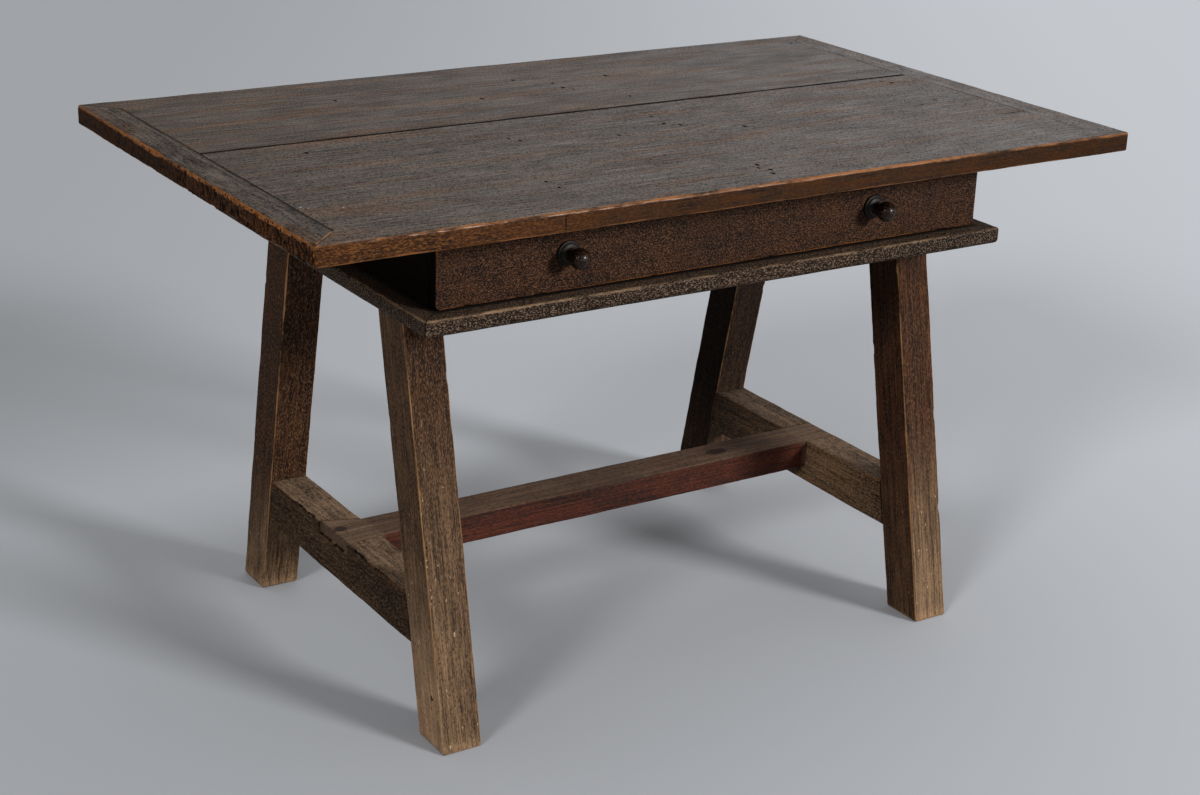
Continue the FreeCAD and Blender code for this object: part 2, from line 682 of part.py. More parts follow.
def make_drawer_sides():
    front_tails = tail_outlines(SIDE_BOTTOM, SIDE_TOP, FRONT_BACK_FACE, TAIL_TIP)
    back_tails = tail_outlines(BOTTOM_HIGH, DRAWER_BACK_TOP, DRAWER_BACK_FACE, DRAWER_END)
    outline = [(FRONT_BACK_FACE, SIDE_BOTTOM)]
    for tail in front_tails:
        outline += tail
    outline += [(FRONT_BACK_FACE, SIDE_TOP), (DRAWER_END, SIDE_TOP), (DRAWER_END, DRAWER_BACK_TOP),
                (DRAWER_BACK_FACE, DRAWER_BACK_TOP)]
    for tail in reversed(back_tails):
        outline += tail[::-1]
    outline += [(DRAWER_BACK_FACE, BOTTOM_HIGH), (DRAWER_END, BOTTOM_HIGH), (DRAWER_END, SIDE_BOTTOM)]
    groove = rectangle((FRONT_BACK_FACE, minus(BOTTOM_LOW)), (DRAWER_END, plus(BOTTOM_HIGH)))
    groove_end = plus(plus(SIDE_INNER, "drawer_groove_depth"))
    for name, side in SIDES:
        board = new_node(f"drawer_side_{name}")
        add(board, "YZ", outline, *stretch(side, SIDE_INNER, SIDE_OUTER))
        cut(board, "YZ", groove, *stretch(side, SIDE_INNER, groove_end))


def cut_tail_sockets(board, tails):
    for _, side in SIDES:
        span = stretch(side, minus(SIDE_INNER), plus(SIDE_OUTER))
        for tail in tails:
            cut(board, "YZ", tail, *span)


def make_drawer_front():
    front = new_node("drawer_front")
    plan = rectangle((times(-1, CASE_END), times(-1, CASE_FACE)), (CASE_END, FRONT_BACK_FACE))
    add(front, "XY", plan, FRONT_LOW, FRONT_HIGH)
    for end in ("XMin", "XMax"):
        round_edges(front, "drawer_front_corner", end, "ZMin")
    sockets = tail_outlines(SIDE_BOTTOM, SIDE_TOP, FRONT_BACK_FACE, minus(TAIL_TIP), "joint_clearance")
    cut_tail_sockets(front, sockets)
    groove_floor = minus(FRONT_BACK_FACE, plus("drawer_groove_depth"))
    groove = rectangle((times(-1, SIDE_INNER), groove_floor), (SIDE_INNER, FRONT_BACK_FACE))
    cut(front, "XY", groove, minus(BOTTOM_LOW), plus(BOTTOM_HIGH))
    marks = [(times(side, KNOB_SPREAD), KNOB_HEIGHT) for _, side in SIDES]
    hole_start = minus(CASE_FACE, "drawer_front_thickness")
    drill(front, "XZ", marks, plus("knob_tenon_radius"), hole_start, CASE_FACE)


def make_drawer_back():
    back = new_node("drawer_back")
    plan = rectangle((times(-1, SIDE_OUTER), DRAWER_BACK_FACE), (SIDE_OUTER, DRAWER_END))
    add(back, "XY", plan, BOTTOM_HIGH, DRAWER_BACK_TOP)
    sockets = tail_outlines(BOTTOM_HIGH, DRAWER_BACK_TOP, DRAWER_BACK_FACE, DRAWER_END, "joint_clearance")
    cut_tail_sockets(back, sockets)
    drill(back, "XY", nail_marks(), plus("nail_radius"), BOTTOM_HIGH, plus(BOTTOM_LOW, plus("nail_length")))


def nail_marks():
    y = f"({DRAWER_END} - drawer_back_thickness / 2)"
    shares = [2 * number / (NAILS - 1) - 1 for number in range(NAILS)]
    return [(times(share, NAIL_SPREAD), y) for share in shares]


def make_drawer_bottom():
    bottom = new_node("drawer_bottom")
    wide = minus(plus(SIDE_INNER, "drawer_groove_depth"))
    narrow = minus(SIDE_INNER)
    front_edge = plus(minus(FRONT_BACK_FACE, "drawer_groove_depth"))
    half = [(narrow, front_edge), (narrow, FRONT_BACK_FACE), (wide, FRONT_BACK_FACE), (wide, DRAWER_END)]
    outline = half + [(times(-1, x), y) for x, y in reversed(half)]
    add(bottom, "XY", outline, BOTTOM_LOW, BOTTOM_HIGH)
    drill(bottom, "XY", nail_marks(), plus("nail_radius"), BOTTOM_LOW, BOTTOM_HIGH)

    nails = []
    for x, y in nail_marks():
        shank = doc.addObject("Part::Cylinder", "nail_shank")
        set_sizes(shank, Radius="nail_radius", Height="nail_length")
        set_place(shank, x, y, BOTTOM_LOW)
        head = doc.addObject("Part::Cylinder", "nail_head")
        set_sizes(head, Radius="nail_head_radius", Height="nail_head_thickness")
        set_place(head, x, y, minus(BOTTOM_LOW, "nail_head_thickness"))
        nail = doc.addObject("Part::MultiFuse", "nail")
        nail.Shapes = [shank, head]
        nails.append(nail)
    group("drawer_bottom_nails", nails)


def knob_piece(kind, x, y, **formulas):
    """One turned length of a knob, pointing out of the drawer front."""
    piece = doc.addObject(kind, "knob_length")
    set_sizes(piece, **formulas)
    piece.Placement.Rotation = KNOB_TURN
    set_place(piece, x, y, KNOB_HEIGHT)
    return piece


def make_knobs():
    face = times(-1, CASE_FACE)
    collar = minus(face, "knob_flange_thickness")
    wedges = []
    for name, side in SIDES:
        x = times(side, KNOB_SPREAD)
        lengths = [
            knob_piece("Part::Cylinder", x, FRONT_BACK_FACE, Radius="knob_tenon_radius",
                       Height="drawer_front_thickness + knob_flange_thickness"),
            knob_piece("Part::Cylinder", x, face, Radius="knob_flange_radius",
                       Height="knob_flange_thickness"),
            knob_piece("Part::Cone", x, collar, Radius1="knob_collar_radius", Radius2="knob_neck_radius",
                       Height="knob_collar_thickness"),
            knob_piece("Part::Cylinder", x, face, Radius="knob_neck_radius", Height="knob_reach"),
            knob_piece("Part::Sphere", x, KNOB_CENTRE, Radius="knob_head_radius"),
            knob_piece("Part::Cylinder", x, KNOB_CENTRE, Radius="knob_tip_radius",
                       Height="knob_head_radius + knob_tip_height"),
        ]
        turned = doc.addObject("Part::MultiFuse", f"turned_{name}")
        turned.Shapes = lengths

        wedge = new_body(f"knob_wedge_{name}")
        wedge_end = minus(FRONT_BACK_FACE, "knob_wedge_length")
        plan = [
            (minus(x, "knob_wedge_thickness / 2"), FRONT_BACK_FACE),
            (plus(x, "knob_wedge_thickness / 2"), FRONT_BACK_FACE),
            (plus(x, "knob_wedge_tip / 2"), wedge_end), (minus(x, "knob_wedge_tip / 2"), wedge_end),
        ]
        half = "(knob_tenon_radius - knob_wedge_margin)"
        add(wedge, "XY", plan, minus(KNOB_HEIGHT, half), plus(KNOB_HEIGHT, half))
        wedges.append(wedge)

        knob = doc.addObject("Part::Cut", f"drawer_knob_{name}")
        knob.Label = f"drawer_knob_{name}"
        knob.Base = turned
        knob.Tool = wedge
        nodes.append(knob)
    group("drawer_knob_wedges", wedges)


# Checks and files

def check_document():
    """Stops if any object failed or any sub-part is empty or broken."""
    doc.recompute()
    failed = [item.Label for item in doc.Objects if {"Invalid", "Error"} & set(item.State)]
    broken = [node.Label for node in nodes if node.Shape.isNull() or not node.Shape.isValid()]
    if failed or broken:
        raise RuntimeError(f"failed objects: {failed}, broken sub-parts: {broken}")


make_top()
make_base()
make_case()
make_legs()
make_stretchers()
make_drawer_sides()
make_drawer_front()
make_drawer_back()
make_drawer_bottom()
make_knobs()
check_document()

os.makedirs("parts", exist_ok=True)
for node in nodes:
    node.Shape.exportStep(f"parts/{node.Label}.step")
    print(f"{node.Label}: {len(node.Shape.Solids)} solid, {node.Shape.Volume / 1000:.1f} cm3")
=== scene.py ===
"""Worn trestle table with one drawer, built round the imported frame.

Timbers and turned knobs with their aged finishes, then the floor, the light and the camera.
"""

import logging
import math
from collections.abc import Callable, Sequence
from dataclasses import dataclass, field, replace
from enum import Enum
from functools import reduce

import bpy
import numpy as np
from mathutils import Matrix, Vector

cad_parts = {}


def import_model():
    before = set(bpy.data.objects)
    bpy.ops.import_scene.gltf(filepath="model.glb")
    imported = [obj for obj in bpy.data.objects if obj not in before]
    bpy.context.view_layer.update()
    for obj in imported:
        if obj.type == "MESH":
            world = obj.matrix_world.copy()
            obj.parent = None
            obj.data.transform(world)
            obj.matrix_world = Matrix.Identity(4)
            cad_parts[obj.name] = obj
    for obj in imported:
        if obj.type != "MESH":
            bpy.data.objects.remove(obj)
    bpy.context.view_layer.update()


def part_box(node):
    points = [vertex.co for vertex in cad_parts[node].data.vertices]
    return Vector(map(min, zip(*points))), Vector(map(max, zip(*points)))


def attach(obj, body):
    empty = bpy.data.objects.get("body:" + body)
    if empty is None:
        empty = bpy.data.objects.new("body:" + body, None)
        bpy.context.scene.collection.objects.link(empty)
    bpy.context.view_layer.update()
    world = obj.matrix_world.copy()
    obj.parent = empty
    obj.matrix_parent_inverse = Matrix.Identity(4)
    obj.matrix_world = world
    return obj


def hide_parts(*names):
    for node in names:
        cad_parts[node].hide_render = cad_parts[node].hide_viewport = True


LOG = logging.getLogger("trestle_table")
MM = 0.001
SMOOTH_UP_TO = math.radians(42)

Rgb = tuple[float, float, float]
Span = tuple[float, float]
Bound = Callable[[np.ndarray, np.ndarray], np.ndarray]
PointMap = Callable[[np.ndarray], np.ndarray]
Socket = bpy.types.NodeSocket


class Named(Enum):
    """A choice whose name is also a word in the names of pieces and materials."""

    @property
    def word(self) -> str:
        """The choice's name in small letters."""
        return self.name.lower()


class Grain(Named):
    """The way the grain runs, as the frame axes of a timber's length, breadth and depth."""

    ALONG_X = (0, 1, 2)
    ALONG_Y = (1, 2, 0)
    ALONG_Z = (2, 0, 1)


class Hand(Named):
    """Left and right, as the sign of X."""

    LEFT = -1
    RIGHT = 1


class Reach(Named):
    """Front and back, as the sign of Y."""

    FRONT = -1
    BACK = 1


class Body(Enum):
    """The bodies that pieces ride on."""

    TABLE = "table"
    DRAWER = "drawer"


class Slot(Enum):
    """The record's material slots."""

    TOP = "top_wood"
    CASE = "case_wood"
    TRESTLE = "trestle_wood"
    DRAWER_FRONT = "drawer_front_wood"
    INNER = "inner_wood"
    KNOB = "knob_wood"
    NAIL = "nail_iron"


class Face(Enum):
    """The four long faces of a timber, in the order of its section's outline."""

    DEPTH_LOW = 0
    BREADTH_HIGH = 1
    DEPTH_HIGH = 2
    BREADTH_LOW = 3

    @property
    def spans_breadth(self) -> bool:
        """Whether the face lies across the timber's breadth, not its depth."""
        return self in (Face.DEPTH_LOW, Face.DEPTH_HIGH)


def srgb(red: int, green: int, blue: int) -> Rgb:
    """Turns a colour as seen on screen into linear light.

    Args:
        red: Red, from 0 to 255.
        green: Green, from 0 to 255.
        blue: Blue, from 0 to 255.

    Returns:
        The linear colour.
    """
    shares = [value / 255 for value in (red, green, blue)]
    return tuple(s / 12.92 if s <= 0.04045 else ((s + 0.055) / 1.055) ** 2.4 for s in shares)


def fixed(place: float) -> Bound:
    """A square end at one place along a timber."""
    return lambda breadth, depth: np.full_like(breadth, place)


def ease(values: np.ndarray, low: float, high: float) -> np.ndarray:
    """Smooth step from 0 at low to 1 at high, which may be the smaller of the two."""
    share = np.clip((values - low) / (high - low), 0, 1)
    return share * share * (3 - 2 * share)


def rounded_plan(half: Span, radius: float) -> PointMap:
    """Rounds the corners of a rectangle in plan.

    Args:
        half: Half the rectangle's length and depth.
        radius: The corners' radius.

    Returns:
        A function that moves points of the square plan to the rounded one.
    """
    def shape(points: np.ndarray) -> np.ndarray:
        """Moves the points near a corner inwards.

        Args:
            points: Places in the frame.

        Returns:
            The places after the move.
        """
        moved = points.copy()
        shares = [np.clip((np.abs(points[:, a]) - half[a] + radius) / radius, 0, 1) for a in (0, 1)]
        for a in (0, 1):
            drawn = shares[a] * (1 - np.sqrt(1 - shares[1 - a] ** 2 / 2))
            moved[:, a] -= np.sign(points[:, a]) * radius * drawn
        return moved

    return shape


def span_of(node: str, axis: int) -> Span:
    """A frame node's lowest and highest place on one axis."""
    low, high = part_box(node)
    return low[axis], high[axis]


def width_of(node: str, axis: int) -> float:
    """A frame node's size on one axis."""
    low, high = span_of(node, axis)
    return high - low


class Wander:
    """A smooth random line along a timber, from 0 to 1."""

    KNOTS = 509

    def __init__(self, rng: np.random.Generator, spacing: float) -> None:
        """Draws the line's knots.

        Args:
            rng: Source of the knots' heights.
            spacing: Distance between knots, in metres.
        """
        self.spacing = spacing
        self.heights = rng.random(self.KNOTS)

    def __call__(self, place: np.ndarray) -> np.ndarray:
        """Reads the line.

        Args:
            place: Places along the timber.

        Returns:
            The line's height at each place.
        """
        knot = np.floor(place / self.spacing).astype(int)
        share = ease(place / self.spacing - knot, 0, 1)
        low = self.heights[knot % self.KNOTS]
        high = self.heights[(knot + 1) % self.KNOTS]
        return low + (high - low) * share


@dataclass(frozen=True)
class Arris:
    """How an edge has worn: its radius, unevenness, and how far it is rubbed bare or filled with dirt."""

    radius: float
    ragged: float = 0.5
    rubbed: float = 1.0
    dirty: float = 0.0


SHARP = Arris(0.5 * MM, rubbed=0.0)
JOINT = Arris(0.7 * MM, ragged=0.7, rubbed=0.15, dirty=0.6)
BUTT = Arris(0.5 * MM, rubbed=0.0, dirty=0.8)
TIGHT = Arris(0.5 * MM, ragged=0.7, rubbed=0.15, dirty=0.3)


@dataclass(frozen=True)
class Chip:
    """A flake lost from one long edge, and how far its hollow is darkened: dirt, and painted shade in the
    crevice.
    """

    edge: int
    place: float
    length: float
    depth: float
    dark: float = 0.0


@dataclass(frozen=True)
class Pit:
    """A small hole in a face, such as wood beetle leave.

    oval is how much wider the hole is across the timber than along it.
    """

    face: Face
    place: float
    across: float
    radius: float = 0.9 * MM
    depth: float = 5 * MM
    oval: float = 1.0


@dataclass(frozen=True)
class Split:
    """A crack that runs along the grain in a face."""

    face: Face
    across: float
    start: float
    end: float
    depth: float = 3 * MM
    width: float = 1.2 * MM


@dataclass(frozen=True)
class Section:
    """A timber's rectangular section: its span across the breadth and across the depth."""

    breadth: Span
    depth: Span


@dataclass(frozen=True)
class Run:
    """A stretch of timber between two end faces, whose section may change evenly along it."""

    start: Bound
    end: Bound
    first: Section
    last: Section


def straight_run(start: Bound, end: Bound, section: Section) -> Run:
    """A run with the same section all along."""
    return Run(start, end, section, section)


def mirrored_run(half: Bound, section: Section) -> Run:
    """A run of one section whose two ends mirror each other about the middle."""
    return straight_run(lambda breadth, depth: -half(breadth, depth), half, section)


def ring_quads(rings: int, columns: int) -> np.ndarray:
    """Joins rings of points.

    Args:
        rings: How many rings there are.
        columns: How many points each ring has.

    Returns:
        The four points of every face between two rings.
    """
    here = np.arange(columns)
    there = (here + 1) % columns
    first = np.stack([here, there, columns + there, columns + here], axis=1)
    return np.concatenate([first + ring * columns for ring in range(rings - 1)])


@dataclass
class Timber:
    """A sawn timber with soft, uneven edges, made of one or more runs end to end.

    Edges and faces are numbered in the order of the section's outline, from the corner that is low both
    ways. The functions pale, wash, soil and gnawed give, for places in the frame, how pale a point is
    (faded, and painted light on one leg's left face), how far its dirt is washed off, how dark it is at least
    (dirt, and painted shade on some pieces), and how deep it may be eaten away. The function shape moves the
    finished points.
    """

    name: str
    grain: Grain
    runs: list[Run]
    edges: tuple[Arris, Arris, Arris, Arris]
    ends: tuple[Arris, Arris]
    seed: int
    body: Body = Body.TABLE
    chips: Sequence[Chip] = ()
    pits: Sequence[Pit] = ()
    splits: Sequence[Split] = ()
    breadth_marks: Sequence[float] = ()
    depth_marks: Sequence[float] = ()
    lean: float = 0.0
    station_gap: float = 5 * MM
    face_gap: float = 14 * MM
    warp: float = 0.35 * MM
    rub_reach: float = 2.2 * MM
    dirt_reach: float = 1.2 * MM
    end_dark: float = 0.0
    pale: PointMap | None = None
    wash: PointMap | None = None
    soil: PointMap | None = None
    gnawed: PointMap | None = None
    shape: PointMap | None = None

    ARC = np.radians([0, 22.5, 45, 67.5, 90])
    END_ARC = np.radians([0, 30, 60, 90])
    LEAST = 0.02 * MM
    PAST_END = (1 * MM, 2.5 * MM)
    CLEAR_OF_END = 4 * MM
    NEAR_EDGE = (6 * MM, 12 * MM)
    CLEAR_OF_EDGE = 14 * MM
    CLEAR_OF_MARK = 2 * MM
    EDGE_WAVES = (45 * MM, 11 * MM)
    EDGE_SHARES = (0.65, 0.35)
    FLAKE_WAVE = 3.5 * MM
    FLAKE_HOLLOW = 1.5
    FLANK_RUB = 0.3
    FACE_WAVES = (60 * MM, 130 * MM, 310 * MM)
    PHASE_RANGE = 6.3
    GNAWED_POWER = 2.5
    GNAWED_FULL = 0.9 * MM
    GNAWED_DIRT = 0.9
    PIT_SIDES = 8
    PIT_START = 225
    PIT_ROOM = 0.36
    PIT_COLLAR = 1.25
    PIT_FLOOR = 0.6

    def build(self) -> bpy.types.Object:
        """Makes the timber's object, riding on its body in place of its node.

        Returns:
            The new object, without a material.
        """
        self.rng = np.random.default_rng(self.seed)
        self.lay_stations()
        self.lay_rings()
        self.join_rings()
        for pit in self.pits:
            self.drill(pit)
        return self.make_object()

    def lay_stations(self) -> None:
        """Places the rings along the runs, closer together round the two ends."""
        rows = []
        for number, run in enumerate(self.runs):
            middle = [np.array([sum(span) / 2]) for span in (run.first.breadth, run.first.depth)]
            start, end = float(run.start(*middle)[0]), float(run.end(*middle)[0])
            length = end - start
            shares = np.linspace(0, 1, max(2, round(length / self.station_gap)) + 1)
            soft = [(share, 0.0, 0.0, 0.0) for share in shares]
            if number == 0:
                soft = self.soften(soft, self.ends[0], length)
            if number == len(self.runs) - 1:
                flipped = [(1 - share, *rest) for share, *rest in reversed(soft)]
                flipped = self.soften(flipped, self.ends[1], length)
                soft = [(1 - share, *rest) for share, *rest in reversed(flipped)]
            rows += [(number, share, start + share * length, *rest) for share, *rest in soft]
        self.run_of = np.array([row[0] for row in rows])
        self.share, self.place, self.inset, self.end_rub, self.end_dirt = np.array(rows)[:, 1:].T

    def soften(self, stations: list[tuple], arris: Arris, length: float) -> list[tuple]:
        """Rounds the start of a list of stations.

        Args:
            stations: Stations as (share, inset, rub, dirt).
            arris: The end's edge.
            length: The run's length.

        Returns:
            The stations, with those next to the end on an arc.
        """
        radius = max(arris.radius, self.LEAST)
        arc = [(radius * (1 - math.cos(a)) / length, radius * (1 - math.sin(a)), arris.rubbed, arris.dirty)
               for a in self.END_ARC]
        close = [((radius + gap) / length, 0.0, 0.0, 0.0) for gap in self.PAST_END]
        rest = [station for station in stations if station[0] * length > radius + self.CLEAR_OF_END]
        fade = [(share, inset, rub + arris.rubbed * math.exp(-share * length / self.rub_reach),
                 dirt + arris.dirty * math.exp(-share * length / self.dirt_reach))
                for share, inset, rub, dirt in close + rest]
        return arc + fade

    def along_runs(self, pick: Callable[[Section], float]) -> np.ndarray:
        """Follows one measure of the section along the timber.

        Args:
            pick: Takes the measure from a section.

        Returns:
            The measure at every station.
        """
        first = np.array([pick(run.first) for run in self.runs])[self.run_of]
        last = np.array([pick(run.last) for run in self.runs])[self.run_of]
        return first + (last - first) * self.share

    def edge_radii(self) -> np.ndarray:
        """Works out the four long edges, with their chips.

        Returns:
            Each edge's radius at every station.
        """
        radii = []
        self.hollow, self.stain = np.zeros((2, len(self.edges), len(self.place)))
        for number, arris in enumerate(self.edges):
            lines = [Wander(self.rng, wave) for wave in self.EDGE_WAVES]
            wander = sum(share * line(self.place) for share, line in zip(self.EDGE_SHARES, lines))
            radius = arris.radius * (1 + arris.ragged * (2 * wander - 1))
            for chip in self.chips:
                if chip.edge == number:
                    near = 1 - np.abs(self.place - chip.place) / (chip.length / 2)
                    rough = 0.75 + 0.5 * Wander(self.rng, self.FLAKE_WAVE)(self.place)
                    share = np.sqrt(np.clip(near, 0, 1))
                    radius = radius + chip.depth * share * rough
                    self.hollow[number] = np.maximum(self.hollow[number], self.FLAKE_HOLLOW * share)
                    # stain: dirt and painted shade darkening the middle of the chip's hollow
                    self.stain[number] = np.maximum(self.stain[number], chip.dark * (near > 0.1) * rough)
            radii.append(np.maximum(radius, self.LEAST))
        return np.array(radii)

    def face_shares(self, face: Face) -> np.ndarray:
        """Chooses where points lie across a face.

        Args:
            face: The face.

        Returns:
            The places as rising shares of the face in outline order, without its two edges.
        """
        widest = max(self.runs, key=lambda run: run.first.breadth[1] - run.first.breadth[0]
                     + run.first.depth[1] - run.first.depth[0]).first
        low, high = widest.breadth if face.spans_breadth else widest.depth
        marks = set(self.breadth_marks if face.spans_breadth else self.depth_marks)
        for split in self.splits:
            if split.face is face:
                marks |= {split.across - split.width / 2, split.across, split.across + split.width / 2}
        width = high - low
        near = [gap / width for gap in self.NEAR_EDGE if gap < width / 2.2]
        count = max(2, math.ceil(width / self.face_gap))
        even = [n / count for n in range(1, count)]
        even = [s for s in even if self.CLEAR_OF_EDGE < s * width < width - self.CLEAR_OF_EDGE]
        exact = [(mark - low) / width for mark in marks]
        shares = [s for s in near + [1 - s for s in near] + even
                  if all(abs(s - e) * width > self.CLEAR_OF_MARK for e in exact)] + exact
        shares = np.unique(np.round(shares or [0.5], 6))
        return shares if face in (Face.DEPTH_LOW, Face.BREADTH_HIGH) else (1 - shares)[::-1]

    def lay_rings(self) -> None:
        """Works out every ring's points, with how rubbed and dirty each is."""
        low_b, high_b, low_d, high_d = (
            self.along_runs(lambda section, name=name, end=end: getattr(section, name)[end])
            for name in ("breadth", "depth") for end in (0, 1))
        self.corners = ((low_b, low_d), (high_b, low_d), (high_b, high_d), (low_b, high_d))
        self.radii = self.edge_radii()
        columns, self.face_columns = [], {}
        for face in Face:
            columns += self.edge_points(face.value)
            between = self.face_points(face)
            self.face_columns[face] = range(len(columns) - 1, len(columns) + len(between))
            columns += between
        self.breadth, self.depth, out_b, out_d, rub, dirt = (
            np.array([np.broadcast_to(column[i], len(self.share)) for column in columns]) for i in range(6))
        self.rub = np.maximum(rub, self.end_rub).T
        self.dirt = np.maximum(dirt, self.end_dirt).T
        self.dirt[[0, -1]] = np.maximum(self.dirt[[0, -1]], self.end_dark)
        sink = self.inset + self.unevenness() + self.split_depth() + self.gnawing()
        breadth, depth = self.breadth - out_b * sink, self.depth - out_d * sink
        length = np.empty_like(breadth)
        for number, run in enumerate(self.runs):
            here = self.run_of == number
            b, d, share = breadth[:, here], depth[:, here], self.share[here]
            length[:, here] = run.start(b, d) * (1 - share) + run.end(b, d) * share
        self.local = np.stack([length.T, breadth.T, depth.T], axis=-1).reshape(-1, 3)
        self.columns = len(columns)

    def edge_points(self, number: int) -> list[tuple]:
        """Lays the columns of points round one long edge.

        Args:
            number: The edge's number.

        Returns:
            Each column's breadth, depth, outward way (two parts), rub and dirt.
        """
        arris, radius, columns = self.edges[number], self.radii[number], []
        turn = math.pi + number * math.pi / 2
        inward = ((1, 1), (-1, 1), (-1, -1), (1, -1))[number]
        centre = [self.corners[number][i] + inward[i] * radius for i in (0, 1)]
        for bend in self.ARC:
            across, proud = bend / self.ARC[-1], math.sin(2 * bend)
            normal = math.cos(turn + bend), math.sin(turn + bend)
            chord = [(1 - across) * wave(turn) + across * wave(turn + math.pi / 2)
                     for wave in (math.cos, math.sin)]
            spot = [centre[i] + radius * (normal[i] + self.hollow[number] * (chord[i] - normal[i]))
                    for i in (0, 1)]
            rub = arris.rubbed * (self.FLANK_RUB + (1 - self.FLANK_RUB) * proud)
            dirt = np.maximum(arris.dirty, self.stain[number] * proud)
            columns.append((*spot, *normal, rub, dirt))
        return columns

    def face_points(self, face: Face) -> list[tuple]:
        """Lays the columns of points across one face, between its two edges.

        Args:
            face: The face.

        Returns:
            Each column's breadth, depth, outward way (two parts), rub and dirt.
        """
        this, following = face.value, (face.value + 1) % len(Face)
        turn = math.pi + this * math.pi / 2 + math.pi / 2
        way = [self.corners[following][i] - self.corners[this][i] for i in (0, 1)]
        length = np.abs(way[0]) + np.abs(way[1])
        shares, columns = self.face_shares(face), []
        for n, share in enumerate(shares):
            first = self.radii[this] + self.LEAST * (n + 1)
            last = length - self.radii[following] - self.LEAST * (len(shares) - n)
            run = np.clip(share * length, first, last)
            spot = [self.corners[this][i] + way[i] * run / length for i in (0, 1)]
            falls = ((self.edges[this], run - self.radii[this]),
                     (self.edges[following], length - run - self.radii[following]))
            rub = np.max([self.FLANK_RUB * arris.rubbed * np.exp(-gap / self.rub_reach)
                          for arris, gap in falls], axis=0)
            dirt = np.max([arris.dirty * np.exp(-gap / self.dirt_reach) for arris, gap in falls], axis=0)
            columns.append((*spot, math.cos(turn), math.sin(turn), rub, dirt))
        return columns

    def unevenness(self) -> np.ndarray:
        """Wears the faces down from their true planes, as planing and years of use do.

        Returns:
            How far each point lies under its plane.
        """
        total = np.zeros_like(self.breadth)
        for wave in self.FACE_WAVES:
            turn = self.rng.normal(size=3)
            turn *= (2 * math.pi / wave) / np.linalg.norm(turn)
            start = self.rng.random() * self.PHASE_RANGE
            total += np.sin(turn[0] * self.place + turn[1] * self.breadth + turn[2] * self.depth + start)
        return self.warp * (0.5 + total / (2 * len(self.FACE_WAVES)))

    def gnawing(self) -> np.ndarray:
        """Eats into the timber, and notes how far dirt fills each hollow.

        Returns:
            How deep each point is eaten away.
        """
        shape = self.breadth.shape
        self.filled = np.zeros(shape)
        if self.gnawed is None:
            return self.filled
        local = np.stack([np.broadcast_to(self.place, shape), self.breadth, self.depth], axis=-1)
        most = self.gnawed(self.in_frame(local.reshape(-1, 3))).reshape(shape)
        eaten = most * self.rng.random(shape) ** self.GNAWED_POWER
        self.filled = np.clip(eaten / self.GNAWED_FULL, 0, self.GNAWED_DIRT)
        return eaten

    def in_frame(self, local: np.ndarray) -> np.ndarray:
        """Turns places along the timber, across its breadth and across its depth into the frame's axes."""
        return local[:, np.argsort(self.grain.value)]

    def split_depth(self) -> np.ndarray:
        """Opens the splits, and fills them with dirt.

        Returns:
            How deep each point lies in a split.
        """
        total = np.zeros_like(self.breadth)
        for split in self.splits:
            across = self.breadth if split.face.spans_breadth else self.depth
            columns = np.array(self.face_columns[split.face])
            near = np.abs(across[columns] - split.across) < self.LEAST * 5
            middle, half = (split.start + split.end) / 2, (split.end - split.start) / 2
            taper = np.sqrt(np.clip(1 - ((self.place - middle) / half) ** 2, 0, 1))
            total[columns] += near * split.depth * taper
            self.dirt[:, columns] = np.maximum(self.dirt[:, columns], (near * (taper > 0.1)).T)
        return total

    def join_rings(self) -> None:
        """Lists the faces between the rings and over the two ends."""
        rings, columns = len(self.share), self.columns
        self.faces = ring_quads(rings, columns).tolist()
        self.caps = [list(range(columns))[::-1], list(range((rings - 1) * columns, rings * columns))]
        self.rub, self.dirt = self.rub.reshape(-1), self.dirt.reshape(-1)

    def drill(self, pit: Pit) -> None:
        """Cuts one pit into the quad that lies under it, as a collar, a rim and a floor.

        Args:
            pit: The pit, by its place along and across the timber.
        """
        sides = self.PIT_SIDES
        columns = np.array(self.face_columns[pit.face][:-1])
        rings = np.arange(len(self.share) - 1)
        choice = (rings[:, None] * self.columns + columns[None]).reshape(-1)
        choice = [c for c in choice if len(self.faces[c]) == 4]
        quads = np.array([self.faces[c] for c in choice])
        centres = self.local[quads].mean(axis=1)
        astray = centres[:, 1 if pit.face.spans_breadth else 2] - pit.across
        best = np.argmin(np.hypot(centres[:, 0] - pit.place, astray))
        quad = list(quads[best])
        corners = self.local[quad]
        middle = corners.mean(axis=0)
        across, along = corners[1] - corners[0], corners[3] - corners[0]
        wide, long = np.linalg.norm(across), np.linalg.norm(along)
        across, along = across / wide, along / long
        turns = np.radians(self.PIT_START + 360 / sides * np.arange(sides))[:, None]
        reach = min(pit.radius * pit.oval, self.PIT_ROOM * wide), min(pit.radius, self.PIT_ROOM * long)
        spokes = reach[0] * np.cos(turns) * across + reach[1] * np.sin(turns) * along
        sunk = np.cross(along, across) * pit.depth
        circles = (middle + self.PIT_COLLAR * spokes, middle + spokes,
                   middle + self.PIT_FLOOR * spokes + sunk)
        base = len(self.local)
        collar, rim, floor = (list(range(base + sides * n, base + sides * (n + 1))) for n in range(3))
        self.local = np.concatenate([self.local, *circles])
        self.rub = np.concatenate([self.rub, np.zeros(3 * sides)])
        self.dirt = np.concatenate([self.dirt, np.full(sides, self.dirt[quad].mean()), np.ones(2 * sides)])
        around = [[quad[c], quad[(c + 1) % 4], collar[(2 * c + 2) % sides], collar[2 * c + 1], collar[2 * c]]
                  for c in range(4)]
        self.faces[choice[best]] = around[0]
        self.faces += around[1:]
        for outer, inner in ((collar, rim), (rim, floor)):
            self.faces += [[outer[m], outer[(m + 1) % sides], inner[(m + 1) % sides], inner[m]]
                           for m in range(sides)]
        self.faces.append(floor)

